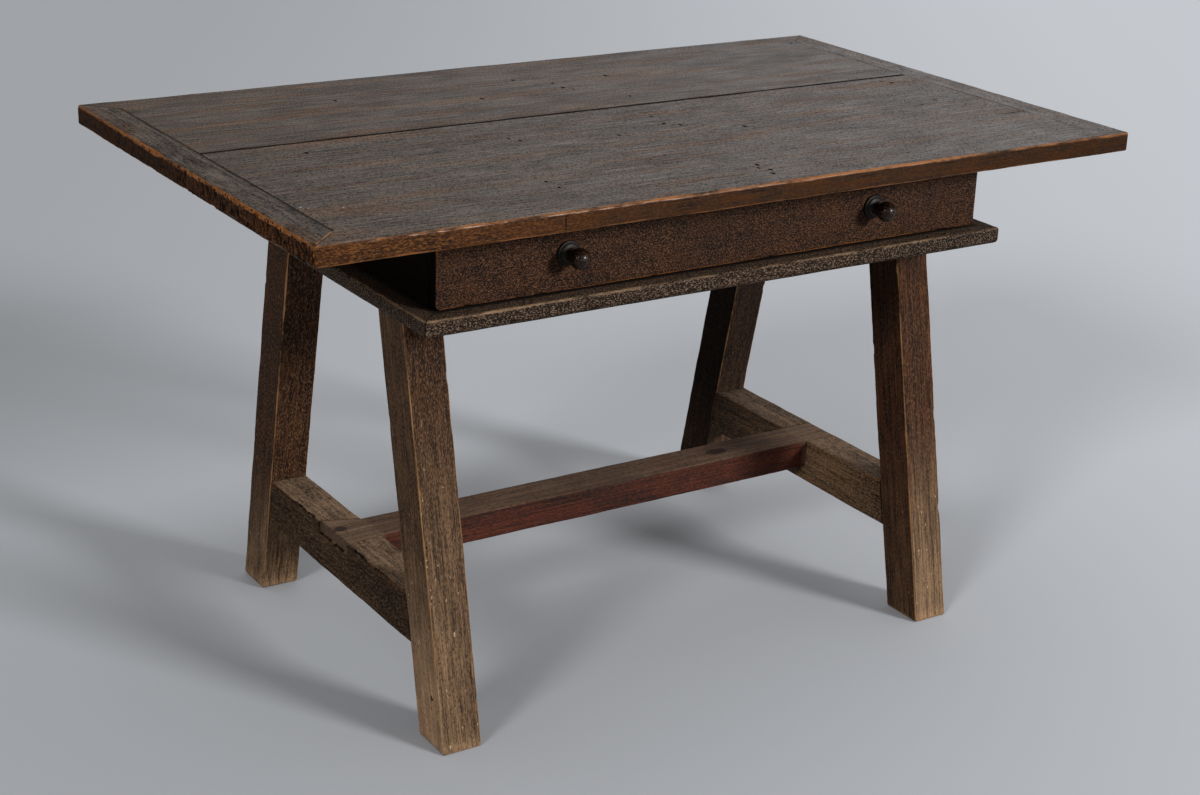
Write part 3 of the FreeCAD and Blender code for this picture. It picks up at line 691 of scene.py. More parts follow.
    def make_object(self) -> bpy.types.Object:
        """Turns the points and faces into an object in the frame.

        Returns:
            The new object.
        """
        world = self.in_frame(self.local)
        place = self.local + self.rng.uniform(0.5, 6, 3)
        place[:, 2] -= self.lean * self.local[:, 0]
        pale = self.pale(world) if self.pale else np.zeros(len(world))
        dirt, rings = self.dirt.copy(), len(self.share) * self.columns
        if self.wash:
            dirt[:rings] *= 1 - self.wash(world[:rings])
        dirt[:rings] = np.maximum(dirt[:rings], self.filled.T.reshape(-1))
        # soil lays dirt, and painted shade on some pieces, into the dirt mask
        if self.soil:
            dirt = np.maximum(dirt, self.soil(world))
        marks = {"rub": self.rub, "dirt": dirt, "pale": pale}
        world = self.shape(world) if self.shape else world
        return add_piece(self.name, world, self.faces + self.caps, place, marks, self.body)


def add_piece(name: str, points: np.ndarray, faces: list, place: np.ndarray, marks: dict[str, np.ndarray],
              body: Body) -> bpy.types.Object:
    """Adds a mesh to the scene, riding on a body in place of the frame node of the same name.

    Args:
        name: The piece's name.
        points: Vertices in the frame, in metres.
        faces: Lists of vertex numbers.
        place: Each vertex's place in the wood, along the grain first.
        marks: Wear masks by name, one value a vertex.
        body: The body that carries the piece.

    Returns:
        The new object.
    """
    mesh = bpy.data.meshes.new(name)
    mesh.from_pydata(points.tolist(), [], faces)
    seat = mesh.attributes.new("place", "FLOAT_VECTOR", "POINT")
    seat.data.foreach_set("vector", place.astype(np.float32).ravel())
    for label, values in marks.items():
        mask = mesh.attributes.new(label, "FLOAT", "POINT")
        mask.data.foreach_set("value", np.asarray(values, np.float32))
    mesh.polygons.foreach_set("use_smooth", [True] * len(mesh.polygons))
    mesh.set_sharp_from_angle(angle=SMOOTH_UP_TO)
    piece = bpy.data.objects.new(name, mesh)
    bpy.context.scene.collection.objects.link(piece)
    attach(piece, body.value)
    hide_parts(name)
    LOG.info("%s: %d points, rides on %s", name, len(points), body.value)
    return piece


class Graph:
    """A shader node tree under construction."""

    def __init__(self, tree: bpy.types.NodeTree) -> None:
        """Starts on a tree with no nodes of its own."""
        self.tree = tree
        tree.nodes.clear()

    def node(self, kind: str, settings: dict | None = None, **inputs: object) -> bpy.types.Node:
        """Adds a node.

        Args:
            kind: Node type, without its ShaderNode prefix.
            settings: Properties to set on the node.
            **inputs: Values or sockets for its inputs, by name with _ for a space, or by i and a number.

        Returns:
            The node.
        """
        node = self.tree.nodes.new(f"ShaderNode{kind}")
        for name, value in (settings or {}).items():
            setattr(node, name, value)
        for name, value in inputs.items():
            numbered = name[0] == "i" and name[1:].isdigit()
            self.feed(node.inputs[int(name[1:]) if numbered else name.replace("_", " ")], value)
        return node

    def feed(self, socket: Socket, value: object) -> None:
        """Links a socket to another one, or sets its value.

        Args:
            socket: The input.
            value: A socket, a number, a vector or a colour.
        """
        if isinstance(value, Socket):
            self.tree.links.new(value, socket)
        elif isinstance(value, tuple) and socket.type == "RGBA" and len(value) == 3:
            socket.default_value = (*value, 1.0)
        else:
            socket.default_value = value

    def group(self, tree: bpy.types.NodeTree, **inputs: object) -> bpy.types.NodeOutputs:
        """The outputs of a shared group, placed with these inputs."""
        return self.node("Group", {"node_tree": tree}, **inputs).outputs

    def mark(self, name: str, output: str = "Fac") -> Socket:
        """A value that each point of the mesh carries."""
        return self.node("Attribute", {"attribute_name": name}).outputs[output]

    def math(self, operation: str, a: object, b: object = 0.0, clamp: bool = False) -> Socket:
        """The result of one Math node."""
        return self.node("Math", {"operation": operation, "use_clamp": clamp}, i0=a, i1=b).outputs[0]

    def times(self, a: object, b: object, clamp: bool = False) -> Socket:
        """The product of two values."""
        return self.math("MULTIPLY", a, b, clamp)

    def line(self, value: object, slope: object, start: object, clamp: bool = False) -> Socket:
        """A value times a slope, added to a start."""
        return self.math("ADD", self.times(value, slope), start, clamp)

    def vector(self, operation: str, *parts: object) -> Socket:
        """The result of one Vector Math node."""
        node = self.node("VectorMath", {"operation": operation}, **{f"i{n}": p for n, p in enumerate(parts)})
        return node.outputs["Value" if operation in ("LENGTH", "DOT_PRODUCT") else "Vector"]

    def mix(self, share: object, a: object, b: object, blend: str = "MIX") -> Socket:
        """The result of mixing two colours."""
        settings = {"data_type": "RGBA", "blend_type": blend}
        return self.node("Mix", settings, i0=share, i6=a, i7=b).outputs[2]

    def scaled(self, vector: Socket, scale: Rgb) -> Socket:
        """A vector multiplied by one scale for each axis."""
        return self.vector("MULTIPLY", vector, scale)

    def noise(self, vector: Socket, scale: Rgb, detail: float = 4.0, rough: float = 0.6,
              bend: float = 0.0) -> Socket:
        """Noise from about 0 to 1, with its own scale along each axis."""
        return self.node("TexNoise", None, Vector=self.scaled(vector, scale), Scale=1.0, Detail=detail,
                         Roughness=rough, Distortion=bend).outputs[0]

    def swirl(self, vector: Socket, scale: Rgb, detail: float) -> Socket:
        """Noise with a value of its own for each axis."""
        return self.node("TexNoise", None, Vector=self.scaled(vector, scale), Scale=1.0,
                         Detail=detail).outputs[1]

    def step(self, value: object, low: object, high: object) -> Socket:
        """Smooth step from 0 at low to 1 at high."""
        return self.node("MapRange", {"interpolation_type": "SMOOTHSTEP"}, Value=value, From_Min=low,
                         From_Max=high).outputs[0]


class WoodShop:
    """The shader groups that the wood finishes share, each built once."""

    FIBRE_WEIGHT = 0.68
    BAND_WEIGHT = 0.06
    PORE_SHARE = 0.55

    def __init__(self) -> None:
        """Builds the groups."""
        self.grain = self.make_grain()
        self.rubbing = self.make_rubbing()
        self.speckle = self.make_speckle()
        self.dust = self.make_dust()
        self.blot = self.make_blot()

    @staticmethod
    def start(name: str, inputs: dict[str, str],
              outputs: dict[str, str]) -> tuple[Graph, dict[str, Socket], bpy.types.NodeInputs]:
        """Opens a new group.

        Args:
            name: The group's name.
            inputs: Socket types by input name.
            outputs: Socket types by output name.

        Returns:
            The graph, the group's inputs by name, and the sockets that take its outputs.
        """
        tree = bpy.data.node_groups.new(name, "ShaderNodeTree")
        for in_out, sockets in (("INPUT", inputs), ("OUTPUT", outputs)):
            for label, kind in sockets.items():
                tree.interface.new_socket(label, in_out=in_out, socket_type=f"NodeSocket{kind}")
        graph = Graph(tree)
        source, target = (tree.nodes.new(f"NodeGroup{end}") for end in ("Input", "Output"))
        return graph, {label: source.outputs[label] for label in inputs}, target.inputs

    def make_grain(self) -> bpy.types.NodeTree:
        """Makes the figure of the wood: growth bands, long streaks, fine fibres and pores.

        Returns:
            The group.
        """
        graph, at, out = self.start(
            "timber_grain",
            {"Place": "Vector", "Light": "Color", "Dark": "Color", "Pore": "Color", "Contrast": "Float",
             "Cloud": "Float", "Streak": "Float", "Shortness": "Float"},
            {"Color": "Color", "Tone": "Float", "Height": "Float"})
        squeeze = graph.node("CombineXYZ", None, X=at["Shortness"], Y=1.0, Z=1.0).outputs[0]
        place = graph.vector("MULTIPLY", at["Place"], squeeze)
        streak = graph.noise(place, (2.4, 120, 120), 5, 0.62)
        fibre = graph.noise(place, (8, 430, 430), 3, 0.68)
        blotch = graph.noise(place, (7, 16, 16), 4, 0.55, 0.3)
        warped = graph.vector("ADD", graph.scaled(place, (0.9, 13, 13)), graph.swirl(place, (3.5, 8, 8), 3.0))
        bands = graph.node("TexWave", {"wave_type": "BANDS", "bands_direction": "Y"}, Vector=warped,
                           Scale=2.4, Distortion=3.5, Detail=3.0).outputs[1]
        parts = ((streak, at["Streak"]), (fibre, self.FIBRE_WEIGHT), (blotch, at["Cloud"]),
                 (bands, self.BAND_WEIGHT))
        weighed = [graph.times(graph.math("SUBTRACT", value, 0.5), weight) for value, weight in parts]
        total = reduce(lambda a, b: graph.math("ADD", a, b), weighed)
        tone = graph.line(total, at["Contrast"], 0.5, clamp=True)
        pores = graph.step(graph.noise(place, (26, 620, 620), 2, 0.5), 0.59, 0.69)
        colour = graph.mix(tone, at["Dark"], at["Light"])
        graph.feed(out["Color"], graph.mix(graph.times(pores, self.PORE_SHARE), colour, at["Pore"]))
        graph.feed(out["Tone"], tone)
        graph.feed(out["Height"], graph.math("SUBTRACT", graph.line(fibre, 0.6, streak), pores))
        return graph.tree

    def make_rubbing(self) -> bpy.types.NodeTree:
        """Makes the patches where edges are rubbed through to bare wood.

        Returns:
            The group.
        """
        graph, at, out = self.start("rubbed_edge", {"Place": "Vector", "Rub": "Float", "Amount": "Float"},
                                    {"Mask": "Float"})
        broad = graph.noise(at["Place"], (9, 40, 40), 3, 0.6)
        fine = graph.noise(at["Place"], (90, 420, 420), 3, 0.65)
        strength = graph.times(at["Rub"], at["Amount"])
        patchy = graph.times(strength, graph.line(broad, 3.0, -0.65))
        rough = graph.times(graph.math("SUBTRACT", fine, 0.5), graph.times(strength, 1.2))
        graph.feed(out["Mask"], graph.step(graph.math("ADD", patchy, rough), 0.35, 1.05))
        return graph.tree

    def make_speckle(self) -> bpy.types.NodeTree:
        """Makes pale flecks, dark specks and a few bright scuffs.

        Returns:
            The group.
        """
        graph, at, out = self.start("speckle", {"Place": "Vector", "Size": "Vector", "Wear": "Float"},
                                    {"Pale": "Float", "Dark": "Float", "Scuff": "Float"})
        spread = graph.vector("DIVIDE", at["Place"], at["Size"])
        fine = graph.node("TexNoise", None, Vector=spread, Scale=1.0, Detail=2.0, Roughness=0.6).outputs[0]
        graph.feed(out["Pale"], graph.step(fine, 0.52, 0.63))
        graph.feed(out["Dark"], graph.step(fine, 0.48, 0.36))
        bent = graph.vector("MULTIPLY_ADD", graph.swirl(at["Place"], (240, 240, 240), 2.0), (1.6, 1.6, 1.6),
                            graph.scaled(at["Place"], (100, 250, 250)))
        cells = graph.node("TexVoronoi", None, Vector=bent, Scale=1.0).outputs
        chance = graph.node("SeparateColor", None, Color=cells["Color"]).outputs[0]
        least = graph.math("SUBTRACT", 0.97, graph.times(graph.math("MINIMUM", at["Wear"], 1.0), 0.22))
        size = graph.times(graph.step(chance, least, 1.0), 0.25)
        graph.feed(out["Scuff"], graph.math("LESS_THAN", cells["Distance"], size))
        return graph.tree

    def make_dust(self) -> bpy.types.NodeTree:
        """Makes a film on faces that look up.

        Returns:
            The group.
        """
        graph, at, out = self.start("dust_film", {"Place": "Vector", "Amount": "Float"}, {"Mask": "Float"})
        normal = graph.node("SeparateXYZ", None, Vector=graph.node("NewGeometry").outputs["Normal"]).outputs
        cover = graph.line(graph.noise(at["Place"], (16, 30, 30), 5, 0.6), 0.9, 0.2)
        upward = graph.times(graph.step(normal[2], 0.55, 0.95), cover)
        graph.feed(out["Mask"], graph.times(upward, at["Amount"], clamp=True))
        return graph.tree

    def make_blot(self) -> bpy.types.NodeTree:
        """Makes one round or oval mark, such as a knot or a stain, at a place in the frame.

        Returns:
            The group.
        """
        graph, at, out = self.start("blot", {"Centre": "Vector", "Radius": "Vector"},
                                    {"Mask": "Float", "Ring": "Float"})
        here = graph.node("TexCoord").outputs["Object"]
        wobble = graph.swirl(here, (90, 90, 90), 2.0)
        shift = graph.vector("MULTIPLY_ADD", wobble, (0.006,) * 3, (-0.003,) * 3)
        gap = graph.vector("SUBTRACT", graph.vector("ADD", here, shift), at["Centre"])
        length = graph.vector("LENGTH", graph.vector("DIVIDE", gap, at["Radius"]))
        graph.feed(out["Mask"], graph.step(length, 1.05, 0.8))
        graph.feed(out["Ring"], graph.times(graph.step(length, 1.3, 1.0), graph.step(length, 0.75, 0.95)))
        return graph.tree


@dataclass(frozen=True)
class Mark:
    """A knot or stain: its middle and reach in the frame, and its colour."""

    centre: Rgb
    radius: Rgb
    colour: Rgb


@dataclass(frozen=True)
class WoodFinish:
    """The colours and amounts of an aged wood surface."""

    name: str
    light: Rgb
    dark: Rgb
    rubbed: Rgb
    pale: Rgb
    dust: Rgb = srgb(120, 108, 96)
    fleck: Rgb = srgb(120, 100, 82)
    # dark colour laid where the dirt mask is high: dirt, and painted shade on the pieces given it through
    # soil
    soot: Rgb = srgb(14, 10, 8)
    scratch: Rgb = srgb(166, 143, 114)
    rim_fleck: Rgb = srgb(120, 78, 40)
    contrast: float = 3.5
    cloud: float = 0.2
    streak: float = 0.4
    shortness: float = 1.0
    rub: float = 1.0
    dusty: float = 0.0
    flecks: float = 0.25
    specks: float = 0.3
    scuffs: float = 0.0
    fleck_size: float = 1.8 * MM
    fleck_stretch: float = 2.5
    calm: float = 0.0
    rim_flecks: float = 0.0
    rim_size: float = 1.5 * MM
    gloss: Span = (0.42, 0.62)
    specular: float = 0.25
    polish: float = 0.0
    relief: float = 0.25 * MM
    marks: tuple[Mark, ...] = ()

    def title(self, grain: Grain | None) -> str:
        """The material's name, with the grain's way for a frame node."""
        return self.name if grain is None else f"{self.name}_{grain.word}"


class WoodSurface:
    """One wood material under construction, from the wood itself up to the wear and the wax."""

    BALD_SCALE = (3.2, 34, 34)
    BALD_TINT = 0.15
    BALD_DULLNESS = 0.3
    CRUMB_STRETCH = (0.3, 1, 1)
    EATEN_FROM = 0.85
    MARK_SHARE = 0.85
    MARK_RING = 0.5
    GRAIN_IN_RUBBED = 0.35
    SOOT_SPAN = (0.15, 0.85)
    WAX_SPAN = (0.7, 0.2)
    BUMP = 0.55
    COAT_ROUGHNESS = 0.28

    def __init__(self, finish: WoodFinish, shop: WoodShop, grain: Grain | None) -> None:
        """Starts the material and places the shared groups in it.

        Args:
            finish: The colours and amounts.
            shop: The shared shader groups.
            grain: For a frame node, the way its grain runs; a piece made here carries its own places.
        """
        self.finish, self.shop = finish, shop
        self.made = bpy.data.materials.new(finish.title(grain))
        self.made.use_nodes = True
        self.graph = graph = Graph(self.made.node_tree)
        self.place = self.place_in_wood(grain)
        self.rub, self.dirt, self.pale = (graph.mark(name) for name in ("rub", "dirt", "pale"))
        self.wood = graph.group(
            shop.grain, Place=self.place, Light=finish.light, Dark=finish.dark, Pore=finish.soot,
            Contrast=finish.contrast, Cloud=finish.cloud, Streak=finish.streak, Shortness=finish.shortness)
        self.tone, self.colour = self.wood["Tone"], self.wood["Color"]
        fleck = finish.fleck_size
        self.spots = graph.group(shop.speckle, Place=self.place, Wear=self.pale,
                                 Size=(fleck * finish.fleck_stretch, fleck, fleck))
        self.film = graph.group(shop.dust, Place=self.place, Amount=finish.dusty)[0]
        self.bare = graph.group(shop.rubbing, Place=self.place, Rub=self.rub, Amount=finish.rub)[0]
        if finish.polish:
            self.bald = graph.step(graph.noise(self.place, self.BALD_SCALE, 5, 0.62), 0.47, 0.66)

    def place_in_wood(self, grain: Grain | None) -> Socket:
        """Finds a point's place in the wood, along the grain first.

        Args:
            grain: For a frame node, the way its grain runs.

        Returns:
            The place.
        """
        if grain is None:
            return self.graph.mark("place", "Vector")
        here = self.graph.node("TexCoord").outputs["Object"]
        parts = self.graph.node("SeparateXYZ", None, Vector=here).outputs
        axes = {f"i{n}": parts[axis] for n, axis in enumerate(grain.value)}
        return self.graph.node("CombineXYZ", None, **axes).outputs[0]

    def build(self) -> bpy.types.Material:
        """Joins the layers in the shader.

        Returns:
            The material.
        """
        graph, finish = self.graph, self.finish
        self.fade()
        self.add_flecks()
        self.add_crumbs()
        self.add_marks()
        self.add_wear()
        lumps = graph.line(self.spots["Pale"], 0.5, self.wood["Height"])
        bump = graph.node("Bump", None, Strength=self.BUMP, Distance=finish.relief, Height=lumps).outputs[0]
        shader = graph.node("BsdfPrincipled", None, Base_Color=self.colour, Roughness=self.roughness(),
                            Normal=bump)
        shader.inputs["Specular IOR Level"].default_value = finish.specular
        if finish.polish:
            graph.feed(shader.inputs["Coat Weight"], self.gleam())
            shader.inputs["Coat Roughness"].default_value = self.COAT_ROUGHNESS
        graph.node("OutputMaterial", None, Surface=shader.outputs[0])
        return self.made

    def cover(self, share: Socket, colour: Socket | Rgb) -> None:
        """Lays another colour over a share of the wood."""
        self.colour = self.graph.mix(share, self.colour, colour)

    def fade(self) -> None:
        """Changes the wood where its polish is thin, where it is pale (faded, and painted light on one leg's
        left face), and where dust lies.
        """
        graph, finish = self.graph, self.finish
        grained = graph.math("ADD", self.tone, 0.5)
        bleached = graph.times(grained, graph.math("MAXIMUM", self.pale, 1.0))
        if finish.polish:
            self.cover(graph.times(self.bald, self.BALD_TINT), finish.rubbed)
        share = graph.times(self.pale, graph.line(self.tone, 0.7, 0.55), clamp=True)
        self.cover(share, graph.mix(1.0, finish.pale, bleached, "MULTIPLY"))
        self.cover(self.film, graph.mix(1.0, finish.dust, grained, "MULTIPLY"))

    def add_flecks(self) -> None:
        """Adds dark specks and pale flecks, fewer where a calm finish has faded."""
        graph, finish = self.graph, self.finish
        faded = graph.times(graph.math("MINIMUM", self.pale, 1.0), finish.calm)
        loud = graph.math("SUBTRACT", 1.0, faded)
        for spot, strength, tint in (("Dark", finish.specks, finish.soot),
                                     ("Pale", finish.flecks, finish.fleck)):
            self.cover(graph.times(self.spots[spot], graph.times(loud, strength)), tint)

    def add_crumbs(self) -> None:
        """Breaks up the barest faces with coarse specks."""
        graph, finish = self.graph, self.finish
        if not finish.rim_flecks:
            return
        crumbs = graph.group(self.shop.speckle, Place=graph.scaled(self.place, self.CRUMB_STRETCH),
                             Size=(finish.rim_size,) * 3)
        bared = graph.math("SUBTRACT", self.pale, self.EATEN_FROM)
        eaten = graph.times(bared, finish.rim_flecks, clamp=True)
        for spot, tint in (("Dark", finish.soot), ("Pale", finish.rim_fleck)):
            self.cover(graph.times(crumbs[spot], eaten), tint)

    def add_marks(self) -> None:
        """Adds the knots and stains."""
        graph = self.graph
        for mark in self.finish.marks:
            blot = graph.group(self.shop.blot, Centre=mark.centre, Radius=mark.radius)
            self.cover(graph.times(blot["Mask"], self.MARK_SHARE), mark.colour)
            self.cover(graph.times(blot["Ring"], self.MARK_RING), self.finish.soot)

    def add_wear(self) -> None:
        """Adds rubbed edges, scuffs, and the dark dirt colour, which is painted shade on some pieces."""
        graph, finish = self.graph, self.finish
        tinted = graph.mix(self.GRAIN_IN_RUBBED, finish.rubbed, self.wood["Color"], "OVERLAY")
        self.cover(self.bare, tinted)
        bared = graph.times(graph.math("ADD", self.pale, 0.25), finish.scuffs)
        self.cover(graph.times(self.spots["Scuff"], bared, clamp=True), finish.scratch)
        # dark dirt colour: dirt, and painted shade where a piece's soil or end darkening sets it
        self.cover(graph.step(self.dirt, *self.SOOT_SPAN), finish.soot)

    def roughness(self) -> Socket:
        """Works out the roughness: more in dust and dirt, less on rubbed edges.

        Returns:
            The roughness.
        """
        graph, (least, most) = self.graph, self.finish.gloss
        rough = graph.line(self.tone, most - least, least)
        rough = graph.line(self.film, 0.25, rough)
        rough = graph.line(self.dirt, 0.5, rough)
        return graph.math("SUBTRACT", rough, graph.times(self.bare, 0.08), clamp=True)

    def gleam(self) -> Socket:
        """Works out where wax is left: on faces that look up and on rubbed edges, and not in dirt.

        Returns:
            The coat's weight.
        """
        graph = self.graph
        wax = graph.group(self.shop.dust, Place=self.place, Amount=self.finish.polish)[0]
        lost = graph.line(self.bald, self.BALD_DULLNESS, graph.times(self.spots["Dark"], 0.8))
        kept = graph.math("SUBTRACT", graph.line(self.tone, 0.7, 0.68), lost)
        gleam = graph.math("MAXIMUM", graph.times(wax, kept), graph.times(self.bare, 0.55))
        return graph.times(gleam, graph.step(self.dirt, *self.WAX_SPAN), clamp=True)


TOP_WOOD = WoodFinish(
    "top_wood", light=srgb(97, 85, 73), dark=srgb(12, 9, 8), rubbed=srgb(162, 101, 47), pale=srgb(56, 32, 15),
    contrast=4.4, streak=0.22, shortness=1.3, flecks=0.42, specks=0.85, fleck=srgb(122, 92, 64),
    fleck_size=2.2 * MM, fleck_stretch=1.3, calm=1.0, rim_flecks=1.2, gloss=(0.5, 0.7), specular=0.06,
    polish=0.95, relief=0.4 * MM, marks=(
        Mark((-0.604, -0.2385, 0.770), (1.6 * MM,) * 3, srgb(196, 186, 168)),
        Mark((-0.597, -0.247, 0.770), (1.3 * MM,) * 3, srgb(196, 186, 168)),
        Mark((-0.557, -0.261, 0.770), (1.7 * MM,) * 3, srgb(190, 180, 164)),
        Mark((-0.530, -0.309, 0.770), (1.3 * MM,) * 3, srgb(190, 180, 164)),
        Mark((-0.318, -0.400, 0.757), (1.3 * MM, 4 * MM, 10 * MM), srgb(16, 9, 6))))
DRAWER_WOOD = WoodFinish(
    "drawer_front_wood", light=srgb(56, 35, 22), dark=srgb(6, 4, 3), rubbed=srgb(178, 112, 58),
    pale=srgb(84, 60, 44), contrast=3.6, cloud=0.55, streak=0.26, shortness=2.0, flecks=0.75, specks=0.95,
    fleck=srgb(112, 77, 55), fleck_size=1.15 * MM, fleck_stretch=2.0, gloss=(0.6, 0.8), specular=0.08)
CASE_WOOD = WoodFinish(
    "case_wood", light=srgb(50, 35, 25), dark=srgb(8, 6, 4), rubbed=srgb(86, 55, 32), pale=srgb(60, 46, 36),
    contrast=2.8, flecks=0.10, specks=0.5, gloss=(0.7, 0.9), rub=0.5, specular=0.05)
# the base rails' rubbed colour is a pale grey: bare wood on the worn arris, and a painted highlight along it
BASE_WOOD = WoodFinish(
    "base_wood", light=srgb(50, 34, 24), dark=srgb(6, 4, 3), rubbed=srgb(164, 134, 102),
    pale=srgb(100, 84, 70), dust=srgb(92, 76, 62), contrast=3.4, cloud=0.4, streak=0.3,
    shortness=2.0, flecks=0.7, specks=1.0, fleck=srgb(124, 104, 86), fleck_size=1.6 * MM, fleck_stretch=1.8,
    dusty=0.2, gloss=(0.6, 0.8), rub=0.85, specular=0.08)
LEG_WOOD = WoodFinish(
    "leg_wood", light=srgb(68, 42, 26), dark=srgb(8, 5, 3), rubbed=srgb(170, 126, 82), pale=srgb(106, 84, 63),
    contrast=3.6, streak=0.34, shortness=1.8, flecks=0.4, specks=0.6, fleck=srgb(124, 92, 64),
    fleck_size=1.6 * MM, fleck_stretch=3.0, scuffs=0.85, gloss=(0.62, 0.82), rub=0.95, specular=0.08, marks=(
        Mark((-0.449, -0.298, 0.072), (6 * MM, 2.4 * MM, 3.6 * MM), srgb(14, 9, 7)),))
RIGHT_LEG_WOODS = {
    Reach.FRONT: replace(LEG_WOOD, name="red_leg_wood", light=srgb(82, 49, 30), fleck=srgb(128, 92, 64),
                         shortness=1.3, specks=0.45, flecks=0.3, streak=0.45, marks=()),
    # the back right leg's wood is darkened as painted shade: that leg stands in the shadow of the top
    Reach.BACK: replace(LEG_WOOD, name="dark_leg_wood", light=srgb(46, 30, 21), dark=srgb(5, 3, 2),
                        pale=srgb(78, 60, 46), flecks=0.14, scuffs=0.3, marks=()),
}
LEFT_STRETCHER_WOOD = WoodFinish(
    "left_stretcher_wood", light=srgb(76, 53, 36), dark=srgb(10, 6, 4), rubbed=srgb(130, 86, 44),
    pale=srgb(98, 74, 53), contrast=4.2, shortness=2.0, flecks=0.5, specks=0.6, fleck=srgb(132, 108, 84),
    fleck_stretch=3.0, dusty=0.7, dust=srgb(140, 116, 94), scuffs=0.5, gloss=(0.62, 0.82), rub=0.75,
    specular=0.08)
STRETCHER_WOODS = {
    Hand.LEFT: LEFT_STRETCHER_WOOD,
    Hand.RIGHT: replace(LEFT_STRETCHER_WOOD, name="right_stretcher_wood", dusty=0.6, dust=srgb(112, 96, 84)),
}
CENTRE_WOOD = WoodFinish(
    "centre_wood", light=srgb(80, 35, 20), dark=srgb(10, 4, 2), rubbed=srgb(140, 86, 50),
    pale=srgb(88, 69, 54), contrast=3.6, flecks=0.16, specks=0.6, fleck=srgb(118, 76, 52),
    fleck_stretch=4.0, dusty=1.0, dust=srgb(102, 82, 65), gloss=(0.5, 0.7), rub=0.6, specular=0.15)
INNER_WOOD = WoodFinish(
    "inner_wood", light=srgb(134, 102, 70), dark=srgb(66, 48, 32), rubbed=srgb(160, 126, 90),
    pale=srgb(150, 120, 88), contrast=2.6, flecks=0.1, dusty=0.25, gloss=(0.6, 0.8), rub=0.0)
KNOB_WOOD = WoodFinish(
    "knob_wood", light=srgb(34, 22, 15), dark=srgb(5, 3, 2), rubbed=srgb(62, 44, 30), pale=srgb(70, 54, 42),
    contrast=3.2, flecks=0.4, specks=0.7, fleck=srgb(92, 66, 46), fleck_size=1.6 * MM, gloss=(0.16, 0.3),
    rub=0.3, specular=0.16, relief=0.14 * MM)


@dataclass(frozen=True)
class IronFinish:
    """Hand-made nails, dark and dull with rust."""

    name: str = "nail_iron"
    iron: Rgb = srgb(60, 54, 50)
    rust: Rgb = srgb(92, 54, 32)
    relief: float = 0.2 * MM

    def material(self) -> bpy.types.Material:
        """Makes the iron's material.

        Returns:
            The material.
        """
        material = bpy.data.materials.new(self.name)
        material.use_nodes = True
        graph = Graph(material.node_tree)
        here = graph.node("TexCoord").outputs["Object"]
        patches = graph.step(graph.noise(here, (420, 420, 420), 4), 0.42, 0.62)
        bump = graph.node("Bump", None, Strength=0.5, Distance=self.relief, Height=patches).outputs[0]
        shader = graph.node("BsdfPrincipled", None, Base_Color=graph.mix(patches, self.iron, self.rust),
                            Roughness=graph.line(patches, 0.3, 0.5), Normal=bump,
                            Metallic=graph.math("SUBTRACT", 1.0, patches))
        graph.node("OutputMaterial", None, Surface=shader.outputs[0])
        return material


class Finishes:
    """The materials, each made once."""

    def __init__(self) -> None:
        """Builds the shared shader groups."""
        self.shop = WoodShop()
        self.made: dict[str, bpy.types.Material] = {}

    @staticmethod
    def lay(piece: bpy.types.Object, material: bpy.types.Material, slot: Slot) -> None:
        """Puts one material on a piece.

        Args:
            piece: A piece made here, or a frame node.
            material: The material.
            slot: The record's slot for it; not used.
        """
        piece.data.materials.clear()
        piece.data.materials.append(material)

    def give(self, piece: bpy.types.Object, finish: WoodFinish, slot: Slot,
             grain: Grain | None = None) -> None:
        """Dresses a piece in wood.

        Args:
            piece: A piece made here, or a frame node.
            finish: Its finish.
            slot: The record's slot for it.
            grain: For a frame node, the way its grain runs.
        """
        title = finish.title(grain)
        if title not in self.made:
            self.made[title] = WoodSurface(finish, self.shop, grain).build()
        self.lay(piece, self.made[title], slot)

    def give_nodes(self, ways: dict[Grain, tuple[str, ...]]) -> None:
        """Dresses hidden frame nodes in the inner wood.

        Args:
            ways: The nodes' names, by the way their grain runs.
        """
        for grain, names in ways.items():
            for name in names:
                self.give(bpy.data.objects[name], INNER_WOOD, Slot.INNER, grain)
                LOG.info("%s: frame node, dressed", name)

    def give_iron(self, name: str) -> None:
        """Dresses a frame node in iron."""
        self.lay(bpy.data.objects[name], IronFinish().material(), Slot.NAIL)
        LOG.info("%s: frame node, dressed", name)


